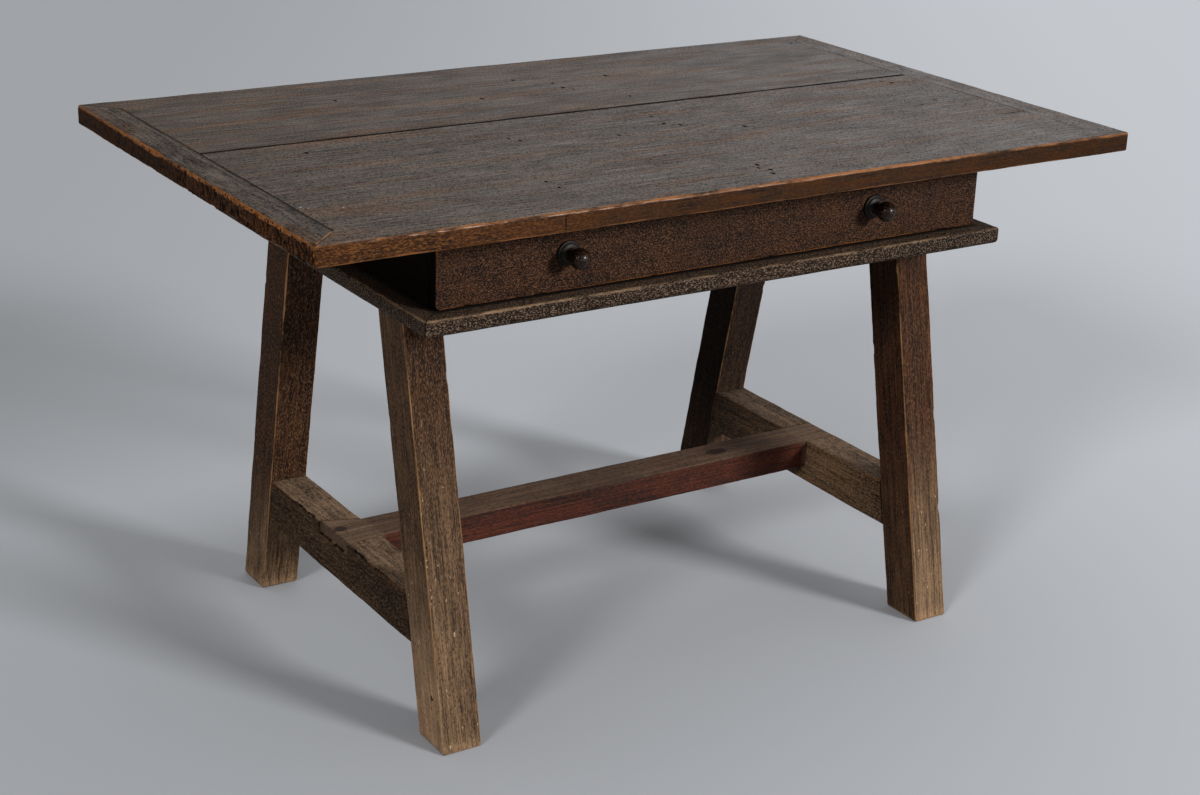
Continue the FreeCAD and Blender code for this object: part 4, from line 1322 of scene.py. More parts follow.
@dataclass
class TableTop:
    """Two boards with an open seam, between end battens that are mitred into the corners."""

    finishes: Finishes
    length: Span = field(
        default_factory=lambda: (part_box("end_batten_left")[0].x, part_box("end_batten_right")[1].x))
    depth: Span = field(default_factory=lambda: span_of("end_batten_left", 1))
    level: Span = field(default_factory=lambda: span_of("end_batten_left", 2))
    batten_width: float = field(default_factory=lambda: width_of("end_batten_left", 0))
    seam: Span = field(
        default_factory=lambda: (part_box("top_board_front")[1].y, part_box("top_board_back")[0].y))
    rim: Arris = Arris(5.0 * MM, ragged=0.3, rubbed=1.05)
    rim_below: Arris = Arris(3.4 * MM, ragged=0.4, rubbed=0.8)
    corner: float = 9 * MM
    mitre: Arris = Arris(2.4 * MM, ragged=0.6, rubbed=1.5)
    back_seam: Arris = Arris(2.0 * MM, ragged=0.5, rubbed=0.7, dirty=0.75)
    front_seam: Arris = Arris(2.6 * MM, ragged=0.5, rubbed=1.2, dirty=0.75)
    split: Split = Split(Face.DEPTH_HIGH, -0.226, 0.560, 0.616, width=5 * MM)
    hole_oval: float = 1.8
    holes_front: tuple[Span, ...] = (
        (0.158, -0.117), (-0.073, -0.228), (-0.044, -0.0905), (0.0295, -0.3235), (0.030, -0.359),
        (0.272, -0.353), (0.532, -0.108), (0.544, 0.036), (0.554, 0.020), (-0.486, 0.003), (-0.191, -0.050),
        (0.072, -0.009), (0.061, -0.062), (0.073, -0.080), (-0.270, -0.269), (-0.268, -0.293),
        (0.042, -0.311), (0.045, -0.337), (-0.183, -0.068))
    holes_back: tuple[Span, ...] = (
        (0.051, 0.200), (-0.31, 0.27), (0.049, 0.232), (0.063, 0.197), (-0.102, 0.198), (-0.009, 0.074),
        (0.063, 0.072), (0.111, 0.116), (0.161, 0.250), (0.005, 0.283), (0.597, 0.338))
    rim_chips: tuple[Rgb, ...] = (
        (-0.372, 0.022, 3.0 * MM), (-0.340, 0.014, 2.0 * MM), (-0.300, 0.030, 2.2 * MM),
        (-0.232, 0.012, 1.6 * MM), (-0.165, 0.020, 1.4 * MM), (-0.11, 0.026, 1.8 * MM),
        (-0.02, 0.016, 1.2 * MM), (0.09, 0.03, 1.4 * MM), (0.2, 0.02, 1.2 * MM))
    chip_shift: float = 12 * MM
    end_holes: int = 40
    gnawed_depth: float = 1.6 * MM
    face_skin: float = 3 * MM

    def build(self) -> None:
        """Builds and dresses the boards and the battens."""
        for timber in (*map(self.board, Reach), *map(self.batten, Hand)):
            self.finishes.give(timber.build(), TOP_WOOD, Slot.TOP)

    def board(self, reach: Reach) -> Timber:
        """Lays out one board.

        Args:
            reach: The front or the back one.

        Returns:
            The board.
        """
        front = reach is Reach.FRONT
        if front:
            breadth, mitre = (self.depth[0], self.seam[0]), self.depth[0] + self.batten_width
            edges = self.rim_below, SHARP, self.front_seam, self.rim
        else:
            breadth, mitre = (self.seam[1], self.depth[1]), self.depth[1] - self.batten_width
            edges = SHARP, self.rim_below, self.rim, self.back_seam
        pits = [Pit(Face.DEPTH_HIGH, x, y, (2.7 - 0.25 * (n % 4)) * MM, oval=self.hole_oval)
                for n, (x, y) in enumerate(self.holes_front if front else self.holes_back)]
        return Timber(
            f"top_board_{reach.word}", Grain.ALONG_X,
            [mirrored_run(self.board_half(mitre, reach.value), Section(breadth, self.level))],
            edges, (JOINT, TIGHT), seed=11 + reach.value, breadth_marks=(mitre,), pits=pits,
            splits=[self.split] if front else [], station_gap=9 * MM, face_gap=16 * MM,
            pale=self.bareness, wash=self.outer_faces, soil=self.rim_grime, shape=self.plan())

    def board_half(self, mitre: float, sign: int) -> Bound:
        """Half the length of a board, which grows over the mitre at its outer edge."""
        end = self.length[1] - self.batten_width
        return lambda breadth, depth: end + np.clip(sign * (breadth - mitre), 0, None)

    def batten(self, hand: Hand) -> Timber:
        """Lays out the batten across one end. The left one is chipped and eaten.

        Args:
            hand: The end.

        Returns:
            The batten.
        """
        left = hand is Hand.LEFT
        outer = self.length[0] if left else self.length[1]
        inner = outer - hand.value * self.batten_width
        section = Section(self.level, tuple(sorted((inner, outer))))
        edges = (self.rim_below, self.rim, JOINT, SHARP) if left else (SHARP, TIGHT, self.rim, self.rim_below)
        return Timber(
            f"end_batten_{hand.word}", Grain.ALONG_Y,
            [mirrored_run(self.batten_half(inner, hand.value), section)], edges,
            (self.mitre if left else TIGHT, JOINT), seed=21 + hand.value,
            chips=self.end_chips() if left else [], pits=self.end_pits() if left else [],
            station_gap=2.5 * MM, face_gap=4 * MM, pale=self.bareness, wash=self.outer_faces,
            soil=self.rim_grime, gnawed=self.gnawed if left else None, shape=self.plan())

    def batten_half(self, inner: float, sign: int) -> Bound:
        """Half the length of a batten, which grows towards its outer edge."""
        return lambda breadth, depth: self.depth[1] - self.batten_width + sign * (depth - inner)

    def end_chips(self) -> list[Chip]:
        """Lists the flakes lost from the left end's two outer edges.

        Returns:
            The chips, shallower on the lower edge.
        """
        above = [Chip(1, place, length, depth, 0.4) for place, length, depth in self.rim_chips]
        below = [replace(chip, edge=0, place=chip.place + self.chip_shift, depth=0.35 * chip.depth)
                 for chip in above]
        return above + below

    def end_pits(self) -> list[Pit]:
        """Scatters holes in the left end, crowded towards the front corner.

        Returns:
            The holes.
        """
        rng, count = np.random.default_rng(407), self.end_holes
        low, high = self.level
        places = self.depth[0] + 10 * MM + 0.74 * rng.random(count) ** 2
        levels = rng.uniform(low + 6 * MM, high - 7 * MM, count)
        sizes = rng.uniform(0.8, 2.2, count)
        return [Pit(Face.DEPTH_LOW, y, z, size * MM, 2.5 * MM) for y, z, size in zip(places, levels, sizes)]

    def plan(self) -> PointMap:
        """The top's plan, with rounded corners."""
        return rounded_plan((self.length[1], self.depth[1]), self.corner)

    def from_corner(self, points: np.ndarray) -> np.ndarray:
        """How far points lie from the front left corner in plan."""
        return np.hypot(points[:, 0] - self.length[0], points[:, 1] - self.depth[0])

    def outer_faces(self, points: np.ndarray) -> np.ndarray:
        """How far points lie on the top's outer faces, which are barer than its upper face."""
        gap = np.minimum(self.length[1] - np.abs(points[:, 0]), self.depth[1] - np.abs(points[:, 1]))
        return ease(gap, self.face_skin, 0.6 * MM)

    def bareness(self, points: np.ndarray) -> np.ndarray:
        """How bare the outer faces are, most of all at the front left corner."""
        return self.outer_faces(points) * (1.0 + 0.4 * ease(self.from_corner(points), 0.5, 0.01))

    def gnawed(self, points: np.ndarray) -> np.ndarray:
        """How deep the left end's outer face is eaten away: most at the front corner."""
        near = 0.35 + 0.65 * ease(points[:, 1], self.depth[1], self.depth[0])
        return self.gnawed_depth * near * ease(points[:, 0] - self.length[0], self.face_skin, 1 * MM)

    def rim_grime(self, points: np.ndarray) -> np.ndarray:
        """Spreads dirt over the outer faces, less near the front left corner, and over the left batten.

        Args:
            points: Places in the frame.

        Returns:
            How dirty each point is.
        """
        x = points[:, 0]
        along_end = np.abs(x) > self.length[1] - self.face_skin
        grime = self.outer_faces(points) * ease(self.from_corner(points), 0.05, 0.5)
        grime = grime * np.where(along_end, 0.42, 0.32 + 0.1 * ease(x, 0.2, 0.62))
        on_batten = x < self.length[0] + self.batten_width - 1 * MM
        return np.maximum(grime, 0.3 * on_batten * (grime == 0))


@dataclass
class BaseFrame:
    """Four mitred rails with rounded outer edges, which the drawer case stands on."""

    finishes: Finishes
    end: float = field(default_factory=lambda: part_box("base_rail_right")[1].x)
    face: float = field(default_factory=lambda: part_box("base_rail_back")[1].y)
    level: Span = field(default_factory=lambda: span_of("base_rail_front", 2))
    rail_width: float = field(default_factory=lambda: width_of("base_rail_front", 1))
    upper: Arris = Arris(4.4 * MM, ragged=0.35, rubbed=0.9)
    lower: Arris = Arris(8.5 * MM, ragged=0.12, rubbed=0.25)
    corner: float = 5 * MM
    ledge_from: float = 620 * MM
    ledge_reach: float = 9 * MM

    def build(self) -> None:
        """Builds and dresses the rails."""
        for timber in (*map(self.long_rail, Reach), *map(self.short_rail, Hand)):
            self.finishes.give(timber.build(), BASE_WOOD, Slot.CASE)

    def long_rail(self, reach: Reach) -> Timber:
        """Lays out the front or the back rail.

        Args:
            reach: Which of the two.

        Returns:
            The rail.
        """
        front, outer = reach is Reach.FRONT, reach.value * self.face
        section = Section(self.rail_span(outer, reach.value), self.level)
        edges = (self.lower, SHARP, JOINT, self.upper) if front else (SHARP, self.lower, self.upper, JOINT)
        chips = [Chip(3, -0.462, 0.014, 2.2 * MM), Chip(3, 0.02, 0.03, 1.0 * MM)] if front else []
        run = mirrored_run(lambda breadth, depth: self.end - reach.value * (outer - breadth), section)
        return Timber(f"base_rail_{reach.word}", Grain.ALONG_X, [run], edges, seed=31 + reach.value,
                      chips=chips, **self.shared())

    def short_rail(self, hand: Hand) -> Timber:
        """Lays out the left or the right rail.

        Args:
            hand: Which of the two.

        Returns:
            The rail.
        """
        left, outer = hand is Hand.LEFT, hand.value * self.end
        section = Section(self.level, self.rail_span(outer, hand.value))
        edges = (self.lower, self.upper, JOINT, SHARP) if left else (SHARP, JOINT, self.upper, self.lower)
        chips = [Chip(1, -0.318, 0.016, 2.0 * MM), Chip(1, -0.285, 0.02, 1.5 * MM)] if left else []
        run = mirrored_run(lambda breadth, depth: self.face - hand.value * (outer - depth), section)
        return Timber(f"base_rail_{hand.word}", Grain.ALONG_Y, [run], edges, seed=41 + hand.value,
                      chips=chips, **self.shared())

    def rail_span(self, outer: float, sign: int) -> Span:
        """A rail's span across its width, from its outer face inwards."""
        return tuple(sorted((outer, outer - sign * self.rail_width)))

    def shared(self) -> dict[str, object]:
        """What all four rails have in common."""
        return {"ends": (JOINT, JOINT), "face_gap": 9 * MM, "soil": self.ledge_dirt,
                "shape": rounded_plan((self.end, self.face), self.corner)}

    def ledge_dirt(self, points: np.ndarray) -> np.ndarray:
        """Gathers dirt on the ledge, against the foot of the drawer case.

        Args:
            points: Places in the frame.

        Returns:
            How dirty each point is.
        """
        case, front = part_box("case_end_panel_right")[1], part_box("drawer_front")[0].y
        sides = np.abs(points[:, 0]) - case.x
        ends = np.where(points[:, 1] < 0, front - points[:, 1], points[:, 1] - case.y)
        return 0.75 * ease(np.maximum(sides, ends), self.ledge_reach, 0.0) * (points[:, 2] > self.ledge_from)


@dataclass
class DrawerCase:
    """End and back panels, and the hidden pieces that guide the drawer and hold the table together."""

    finishes: Finishes
    edge: Arris = Arris(1.2 * MM, ragged=0.4, rubbed=0.8)
    station_gap: float = 12 * MM
    # painted shade laid over the whole left end panel, which stands in the shadow of the top's overhang
    smoked: float = 0.55

    def build(self) -> None:
        """Builds the panels and dresses the hidden frame nodes."""
        for timber in (*map(self.end_panel, Hand), self.back_panel()):
            self.finishes.give(timber.build(), CASE_WOOD, Slot.CASE)
        self.finishes.give_nodes({
            Grain.ALONG_X: ("case_front_rail", "top_seam_tongue"),
            Grain.ALONG_Y: ("head_batten_left", "head_batten_right", "drawer_kicker_left",
                            "drawer_kicker_right", "base_corner_keys"),
            Grain.ALONG_Z: ("base_dowels", "top_dowels", "leg_wedges"),
        })

    def end_panel(self, hand: Hand) -> Timber:
        """Lays out one end panel.

        Args:
            hand: The end.

        Returns:
            The panel, the left one darkened all over as painted shade, for the shadow under the top's
            overhang.
        """
        name = f"case_end_panel_{hand.word}"
        low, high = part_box(name)
        run = straight_run(fixed(low.y), fixed(high.y), Section((low.z, high.z), (low.x, high.x)))
        # the left end panel gets its painted shade here
        return Timber(name, Grain.ALONG_Y, [run], (JOINT,) * 4, (SHARP, self.edge), seed=51 + hand.value,
                      station_gap=self.station_gap, soil=self.smoke if hand is Hand.LEFT else None)

    def back_panel(self) -> Timber:
        """Lays out the back panel, between the end panels.

        Returns:
            The panel.
        """
        low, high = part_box("case_back_panel")
        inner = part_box("case_end_panel_right")[0].x
        run = straight_run(fixed(-inner), fixed(inner), Section((low.y, high.y), (low.z, high.z)))
        return Timber("case_back_panel", Grain.ALONG_X, [run], (JOINT,) * 4, (JOINT, JOINT), seed=57,
                      station_gap=self.station_gap)

    def smoke(self, points: np.ndarray) -> np.ndarray:
        """Painted shade, the same all over, for the shadow the top's overhang casts on the left end panel."""
        return np.full(len(points), self.smoked)


@dataclass
class Trestles:
    """Four splayed legs, a stretcher between the legs of each end, and one along the middle."""

    finishes: Finishes
    splay: float = 0.207
    leg_depth: float = 71 * MM
    tenon_setback: float = 12 * MM
    tenon_span: Span = (394 * MM, 422 * MM)
    tenon_short: float = 0.5 * MM
    lap_level: float = 183 * MM
    lap_flare: Span = (7 * MM, 22 * MM)
    lap_length: float = 59 * MM
    lap_recess: float = 2 * MM
    play: float = 0.3 * MM
    warp: float = 0.5 * MM
    edge: Arris = Arris(2.4 * MM, ragged=0.55, rubbed=1.0)
    foot: Arris = Arris(3.6 * MM, ragged=0.6, rubbed=0.8)
    lap_edge: Arris = Arris(1.8 * MM, ragged=0.6, rubbed=0.8, dirty=0.1)
    lap_end: Arris = Arris(2.6 * MM, rubbed=0.6, dirty=0.45)
    leg_chips: int = 9
    stretcher_chips: tuple[Rgb, ...] = (
        (-0.075, 0.058, 2.6 * MM), (-0.012, 0.030, 4.5 * MM), (0.026, 0.036, 5.5 * MM),
        (0.074, 0.030, 3.4 * MM), (0.112, 0.05, 1.6 * MM), (-0.15, 0.05, 1.2 * MM))

    FADING = {
        (Reach.FRONT, Hand.LEFT): (0.57, 0.12, 0.8),
        (Reach.FRONT, Hand.RIGHT): (0.36, 0.02, 1.25),
        (Reach.BACK, Hand.LEFT): (0.24, 0.02, 0.95),
        (Reach.BACK, Hand.RIGHT): (0.30, 0.02, 1.0),
    }

    def build(self) -> None:
        """Builds and dresses the legs and stretchers."""
        for reach in Reach:
            for hand in Hand:
                finish = RIGHT_LEG_WOODS[reach] if hand is Hand.RIGHT else LEG_WOOD
                self.finishes.give(self.leg(reach, hand).build(), finish, Slot.TRESTLE)
        for hand in Hand:
            self.finishes.give(self.side_stretcher(hand).build(), STRETCHER_WOODS[hand], Slot.TRESTLE)
        self.finishes.give(self.centre_stretcher().build(), self.centre_finish(), Slot.TRESTLE)

    def leg(self, reach: Reach, hand: Hand) -> Timber:
        """Lays out one leg, with the tenon that goes up through the base frame.

        Args:
            reach: Front or back.
            hand: Left or right.

        Returns:
            The leg.
        """
        name = f"leg_{reach.word}_{hand.word}"
        low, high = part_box(name)
        head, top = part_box("base_rail_front")[0].z, high.z - self.tenon_short
        foot_reach = -low.y if reach is Reach.FRONT else high.y
        breadth, tenon = (low.x, high.x), tuple(sorted(hand.value * x for x in self.tenon_span))

        def section(level: float, span: Span, setback: float) -> Section:
            """The leg's section at one level, set back from its front and back faces."""
            outer = foot_reach - self.splay * level - setback
            return Section(span, tuple(sorted(
                reach.value * y for y in (outer, outer - self.leg_depth + 2 * setback))))

        runs = [
            Run(fixed(0.0), fixed(head), section(0.0, breadth, 0.0), section(head, breadth, 0.0)),
            Run(fixed(head), fixed(top), section(head, tenon, self.tenon_setback),
                section(top, tenon, self.tenon_setback)),
        ]
        # painted shade: darkens the left faces of the right legs, which stand in the shadow under the top
        soot = 0.36 * (hand is Hand.RIGHT)
        chips, pits = self.leg_damage(reach, hand)
        return Timber(
            name, Grain.ALONG_Z, runs, (self.edge,) * 4, (self.foot, SHARP),
            seed=61 + 2 * reach.value + 5 * hand.value, chips=chips, pits=pits,
            lean=-reach.value * self.splay, warp=self.warp, end_dark=0.55,
            pale=self.leg_paleness(reach, hand, low.x),
            soil=lambda points: soot * ease(points[:, 0], low.x + 3 * MM, low.x + 1 * MM))

    def leg_damage(self, reach: Reach, hand: Hand) -> tuple[list[Chip], list[Pit]]:
        """Scatters chips over one leg, and holes over the front left one.

        Args:
            reach: Front or back.
            hand: Left or right.

        Returns:
            The chips and the holes.
        """
        rng = np.random.default_rng(300 + 7 * reach.value + 3 * hand.value)
        chips = [Chip(int(rng.integers(4)), float(rng.uniform(0.02, 0.58)), float(rng.uniform(0.006, 0.02)),
                      float(rng.uniform(0.6, 1.8)) * MM) for _ in range(self.leg_chips)]
        if (reach, hand) != (Reach.FRONT, Hand.LEFT):
            return chips, []
        return chips, [Pit(Face.BREADTH_LOW, 0.072, -0.298, 1.6 * MM),
                       Pit(Face.DEPTH_LOW, 0.29, -0.446, 1.5 * MM), Pit(Face.DEPTH_LOW, 0.145, -0.413)]

    def leg_paleness(self, reach: Reach, hand: Hand, side: float) -> PointMap:
        """Fades a leg: most at the foot, where mops and shoes reach, with painted light and shade on left
        faces.

        Args:
            reach: Front or back.
            hand: Left or right.
            side: Where the leg's left face lies.

        Returns:
            A function that gives how pale points are, painted light and shade included.
        """
        top, low, most = self.FADING[reach, hand]
        # lit: the front left leg's left face is paled as painted light; shaded: the right legs' left faces
        # keep their dark colour as painted shade
        lit = (reach, hand) == (Reach.FRONT, Hand.LEFT)
        shaded = 0.75 if hand is Hand.RIGHT else float(lit)

        def paleness(points: np.ndarray) -> np.ndarray:
            """Fades points, with painted light on the front left leg's left face and painted shade on the
            right legs' left faces.

            Args:
                points: Places in the frame.

            Returns:
                How pale each point is: faded, with painted light and shade on the left faces.
            """
            level, left_face = points[:, 2], ease(points[:, 0], side + 4 * MM, side)
            faded = most * ease(level, top, low) + 0.5 * ease(level, 0.025, 0.004)
            # own: painted light down the front left leg's left face, strongest near the foot
            own = 0.3 + 0.8 * ease(level, 0.33, 0.12) + 1.0 * ease(level, 0.19, 0.05)
            return faded * (1 - shaded * left_face) + lit * left_face * own

        return paleness

    def side_stretcher(self, hand: Hand) -> Timber:
        """Lays out the stretcher between the legs of one end, notched for the lap of the middle one.

        Args:
            hand: The end.

        Returns:
            The stretcher, chipped at the left end.
        """
        name, left = f"side_stretcher_{hand.word}", hand is Hand.LEFT
        low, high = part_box(name)
        near, far = sorted((low.x, high.x), key=abs)
        flare = self.lap_flare if left else (0.0, 0.0)
        wall = self.lap_half() + self.play
        shoulder = -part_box("leg_front_left")[0].y - self.leg_depth

        def leg_face(sign: int) -> Bound:
            """The leg's inner face, which the stretcher ends on."""
            return lambda breadth, depth: sign * (shoulder - self.splay * breadth)

        def notch_wall(sign: int, spread: float) -> Bound:
            """One wall of the notch, which flares outwards."""
            return lambda breadth, depth: sign * (wall + spread * (depth - near) / (far - near))

        def seam_dirt(points: np.ndarray) -> np.ndarray:
            """Fills the line round the notch with dirt, and soils the left stretcher's outer face.

            Args:
                points: Places in the frame.

            Returns:
                How dirty each point is.
            """
            reach = np.where(points[:, 1] < 0, *flare) * (points[:, 0] - near) / (far - near)
            gap = np.abs(np.abs(points[:, 1]) - self.lap_half() - reach)
            seam = 0.62 * np.exp(-gap / (2 * MM)) * (points[:, 2] > self.lap_level - 1 * MM)
            return np.maximum(seam, 0.44 * (np.abs(points[:, 0] - low.x) < 2 * MM) * left)

        full = Section((low.z, high.z), (low.x, high.x))
        notch = Section((low.z, self.lap_level), (low.x, high.x))
        walls = notch_wall(-1, flare[0]), notch_wall(1, flare[1])
        runs = [straight_run(leg_face(-1), walls[0], full), straight_run(*walls, notch),
                straight_run(walls[1], leg_face(1), full)]
        most = 0.25 if left else 1.0
        chips = [Chip(1, *chip, 0.8) for chip in self.stretcher_chips] if left else []
        return Timber(
            name, Grain.ALONG_Y, runs, (self.edge,) * 4, (BUTT, BUTT), seed=81 + hand.value, chips=chips,
            warp=self.warp, dirt_reach=3 * MM, soil=seam_dirt, station_gap=2.5 * MM,
            pale=lambda points: most * ease(np.abs(points[:, 1]), 0.28, 0.05))

    def lap_half(self) -> float:
        """Half the width of the middle stretcher's straight stretch."""
        return -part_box("centre_stretcher")[0].y - self.lap_flare[0]

    def centre_stretcher(self) -> Timber:
        """Lays out the stretcher along the middle, lapped into the others from above.

        Returns:
            The stretcher.
        """
        low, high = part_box("centre_stretcher")
        inner, outer = span_of("side_stretcher_right", 0)
        half, share = self.lap_half(), 1 - self.lap_recess / (outer - inner)
        spread = -half - share * self.lap_flare[0], half + share * self.lap_flare[1]
        bar = Section((-half, half), (low.z, high.z))
        lap = Section((-half, half), (self.lap_level, high.z))
        flared = Section(spread, (self.lap_level, high.z))
        runs = [Run(fixed(low.x), fixed(-inner), flared, lap), straight_run(fixed(-inner), fixed(inner), bar),
                straight_run(fixed(inner), fixed(high.x), lap)]
        return Timber(
            "centre_stretcher", Grain.ALONG_X, runs, (self.edge, self.edge, self.lap_edge, self.lap_edge),
            (self.lap_end, SHARP), seed=87, warp=self.warp, soil=self.lap_dirt,
            pale=lambda points: 1.4 * ease(np.abs(points[:, 0]), 0.380, 0.392))

    def lap_dirt(self, points: np.ndarray) -> np.ndarray:
        """Fills the lines round the middle stretcher's laps with dirt.

        Args:
            points: Places in the frame.

        Returns:
            How dirty each point is.
        """
        past = np.abs(points[:, 0]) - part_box("side_stretcher_right")[0].x
        flare = np.where(points[:, 0] < 0, np.where(points[:, 1] < 0, *self.lap_flare), 0.0)
        reach = flare * np.clip(past, 0, None) / self.lap_length
        gap = np.abs(np.abs(points[:, 1]) - self.lap_half() - reach)
        return 0.6 * np.exp(-gap / (1.2 * MM)) * (past > -1 * MM)

    @staticmethod
    def centre_finish() -> WoodFinish:
        """Redder wood than the rest, with a knot on top and a stain on the left lap.

        Returns:
            The finish.
        """
        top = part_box("centre_stretcher")[1].z
        return replace(CENTRE_WOOD, marks=(
            Mark((0.232, 0.001, top), (0.017, 0.010, 0.02), srgb(30, 17, 12)),
            Mark((-0.433, 0.013, top), (0.009, 0.008, 0.02), srgb(38, 30, 26))))


@dataclass
class Drawer:
    """The drawer: its front and knobs, and the frame nodes of its box."""

    finishes: Finishes
    edge: Arris = Arris(1.8 * MM, ragged=0.6, rubbed=1.0)
    side: Arris = Arris(1.8 * MM, ragged=0.6, rubbed=0.55)
    corner: float = 7 * MM
    chips: tuple[float, ...] = (-0.41, -0.3, -0.12, 0.08, 0.27, 0.39)
    hole: Pit = Pit(Face.BREADTH_LOW, 0.145, 0.690, 1.4 * MM, 3 * MM)
    knob_places: Span = (-256 * MM, 256 * MM)
    knob_turns: int = 48
    ball_centre: float = 29.0
    ball_radius: float = 14.4
    flange_edge: float = 17.4 * MM
    groove_place: float = 3.3 * MM
    groove_edge: float = 15.5 * MM

    def build(self) -> None:
        """Builds the front and the knobs, and dresses the drawer's box."""
        self.finishes.give(self.front().build(), DRAWER_WOOD, Slot.DRAWER_FRONT)
        for hand, place in zip(Hand, self.knob_places):
            self.finishes.give(self.knob(hand, place), KNOB_WOOD, Slot.KNOB)
        self.finishes.give_nodes({
            Grain.ALONG_Y: ("drawer_side_left", "drawer_side_right", "drawer_knob_wedges"),
            Grain.ALONG_X: ("drawer_back", "drawer_bottom"),
        })
        self.finishes.give_iron("drawer_bottom_nails")

    def front(self) -> Timber:
        """Lays out the drawer front, with its two lower corners rounded.

        Returns:
            The front.
        """
        low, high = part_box("drawer_front")

        def half(breadth: np.ndarray, depth: np.ndarray) -> np.ndarray:
            """Half the front's length, which shrinks round the lower corners."""
            drop = np.clip(self.corner - (depth - low.z), 0, self.corner)
            return high.x - (self.corner - np.sqrt(self.corner ** 2 - drop ** 2))

        run = mirrored_run(half, Section((low.y, high.y), (low.z, high.z)))
        # end_dark=0.95 darkens the two end faces almost to black: dirt, and painted shade where they lie in
        # shadow
        return Timber(
            "drawer_front", Grain.ALONG_X, [run], (self.edge, SHARP, SHARP, self.edge),
            (self.side, self.side), seed=91, body=Body.DRAWER, end_dark=0.95, pits=[self.hole],
            depth_marks=[low.z + share * self.corner for share in (0.3, 0.5, 0.75, 1.0)],
            chips=[Chip(0, place, 0.012, 0.9 * MM) for place in self.chips])

    def knob_profile(self) -> list[Span]:
        """Draws a knob's outline from its tenon to its tip.

        Returns:
            Points as (distance out of the drawer front, radius), in millimetres.
        """
        tenon = [(-21.5, 0.05), (-21.5, 5.9), (0.2, 5.9)]
        flange = [(0.2, 17.2), (0.9, 17.5), (2.0, 17.5), (2.9, 16.9), (3.3, 15.9), (3.3, 15.0), (3.7, 14.3)]
        collar = [(4.6, 14.1), (5.4, 13.2), (6.0, 11.6), (6.3, 10.2), (7.4, 8.6), (9.0, 7.6), (11.5, 7.1),
                  (14.0, 7.2)]
        ball = [(self.ball_centre + self.ball_radius * math.cos(turn), self.ball_radius * math.sin(turn))
                for turn in np.radians(np.linspace(152, 10, 17))]
        tip = [(43.1, 2.4), (43.3, 2.1), (44.1, 1.7), (44.4, 0.9), (44.45, 0.05)]
        return tenon + flange + collar + ball + tip

    def knob(self, hand: Hand, place: float) -> bpy.types.Object:
        """Turns one knob.

        Args:
            hand: Left or right.
            place: Where it stands along the drawer front.

        Returns:
            The knob's object, without a material.
        """
        name = f"drawer_knob_{hand.word}"
        face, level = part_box("drawer_front")[0].y, sum(span_of(name, 2)) / 2
        profile = np.array(self.knob_profile()) * MM
        turns = np.linspace(0, 2 * math.pi, self.knob_turns, endpoint=False)
        rings, columns = len(profile), len(turns)
        out, radius = profile[:, :1], profile[:, 1:]
        local = np.stack([np.repeat(out, columns, 1), radius * np.cos(turns), radius * np.sin(turns)], -1)
        local = local.reshape(-1, 3)
        points = np.stack([place + local[:, 1], face - local[:, 0], level + local[:, 2]], axis=1)
        faces = ring_quads(rings, columns)[:, [0, 3, 2, 1]].tolist()
        faces += [list(range(columns)), list(range((rings - 1) * columns, rings * columns))[::-1]]
        seat = np.array([3.0, 1.0 + hand.value, 2.0])
        return add_piece(name, points, faces, local + seat, self.knob_marks(local), Body.DRAWER)

    def knob_marks(self, local: np.ndarray) -> dict[str, np.ndarray]:
        """Wears a knob: rubbed at its tip and flange, with dirt in the groove and painted shade on the flange
        behind the ball.

        Args:
            local: Points as the distance out of the drawer front and two places across the axis.

        Returns:
            The wear masks by name.
        """
        out, radius = local[:, 0], np.hypot(local[:, 1], local[:, 2])
        rub = ease(out, 0.030, 0.043) * 0.6 + 0.8 * (np.abs(radius - self.flange_edge) < 0.4 * MM)
        groove = (np.abs(out - self.groove_place) < 0.2 * MM) & (radius < self.groove_edge)
        # the 0.45 term behind the ball is painted shade, darkening the flange where the ball's shadow falls
        dirt = np.maximum(0.8 * groove, 0.45 * ease(out, 0.020, 0.010))
        return {"rub": rub, "dirt": dirt, "pale": np.zeros(len(local))}


@dataclass(frozen=True)
class Lamp:
    """A soft lamp far from the table, by its direction and spread in degrees and the light it gives."""

    name: str
    azimuth: float
    elevation: float
    spread: float
    strength: float


def heading(azimuth: float, elevation: float) -> Vector:
    """The way out from the table at an azimuth, from the front round to the right, and an elevation."""
    a, e = math.radians(azimuth), math.radians(elevation)
    return Vector((math.sin(a) * math.cos(e), -math.cos(a) * math.cos(e), math.sin(e)))


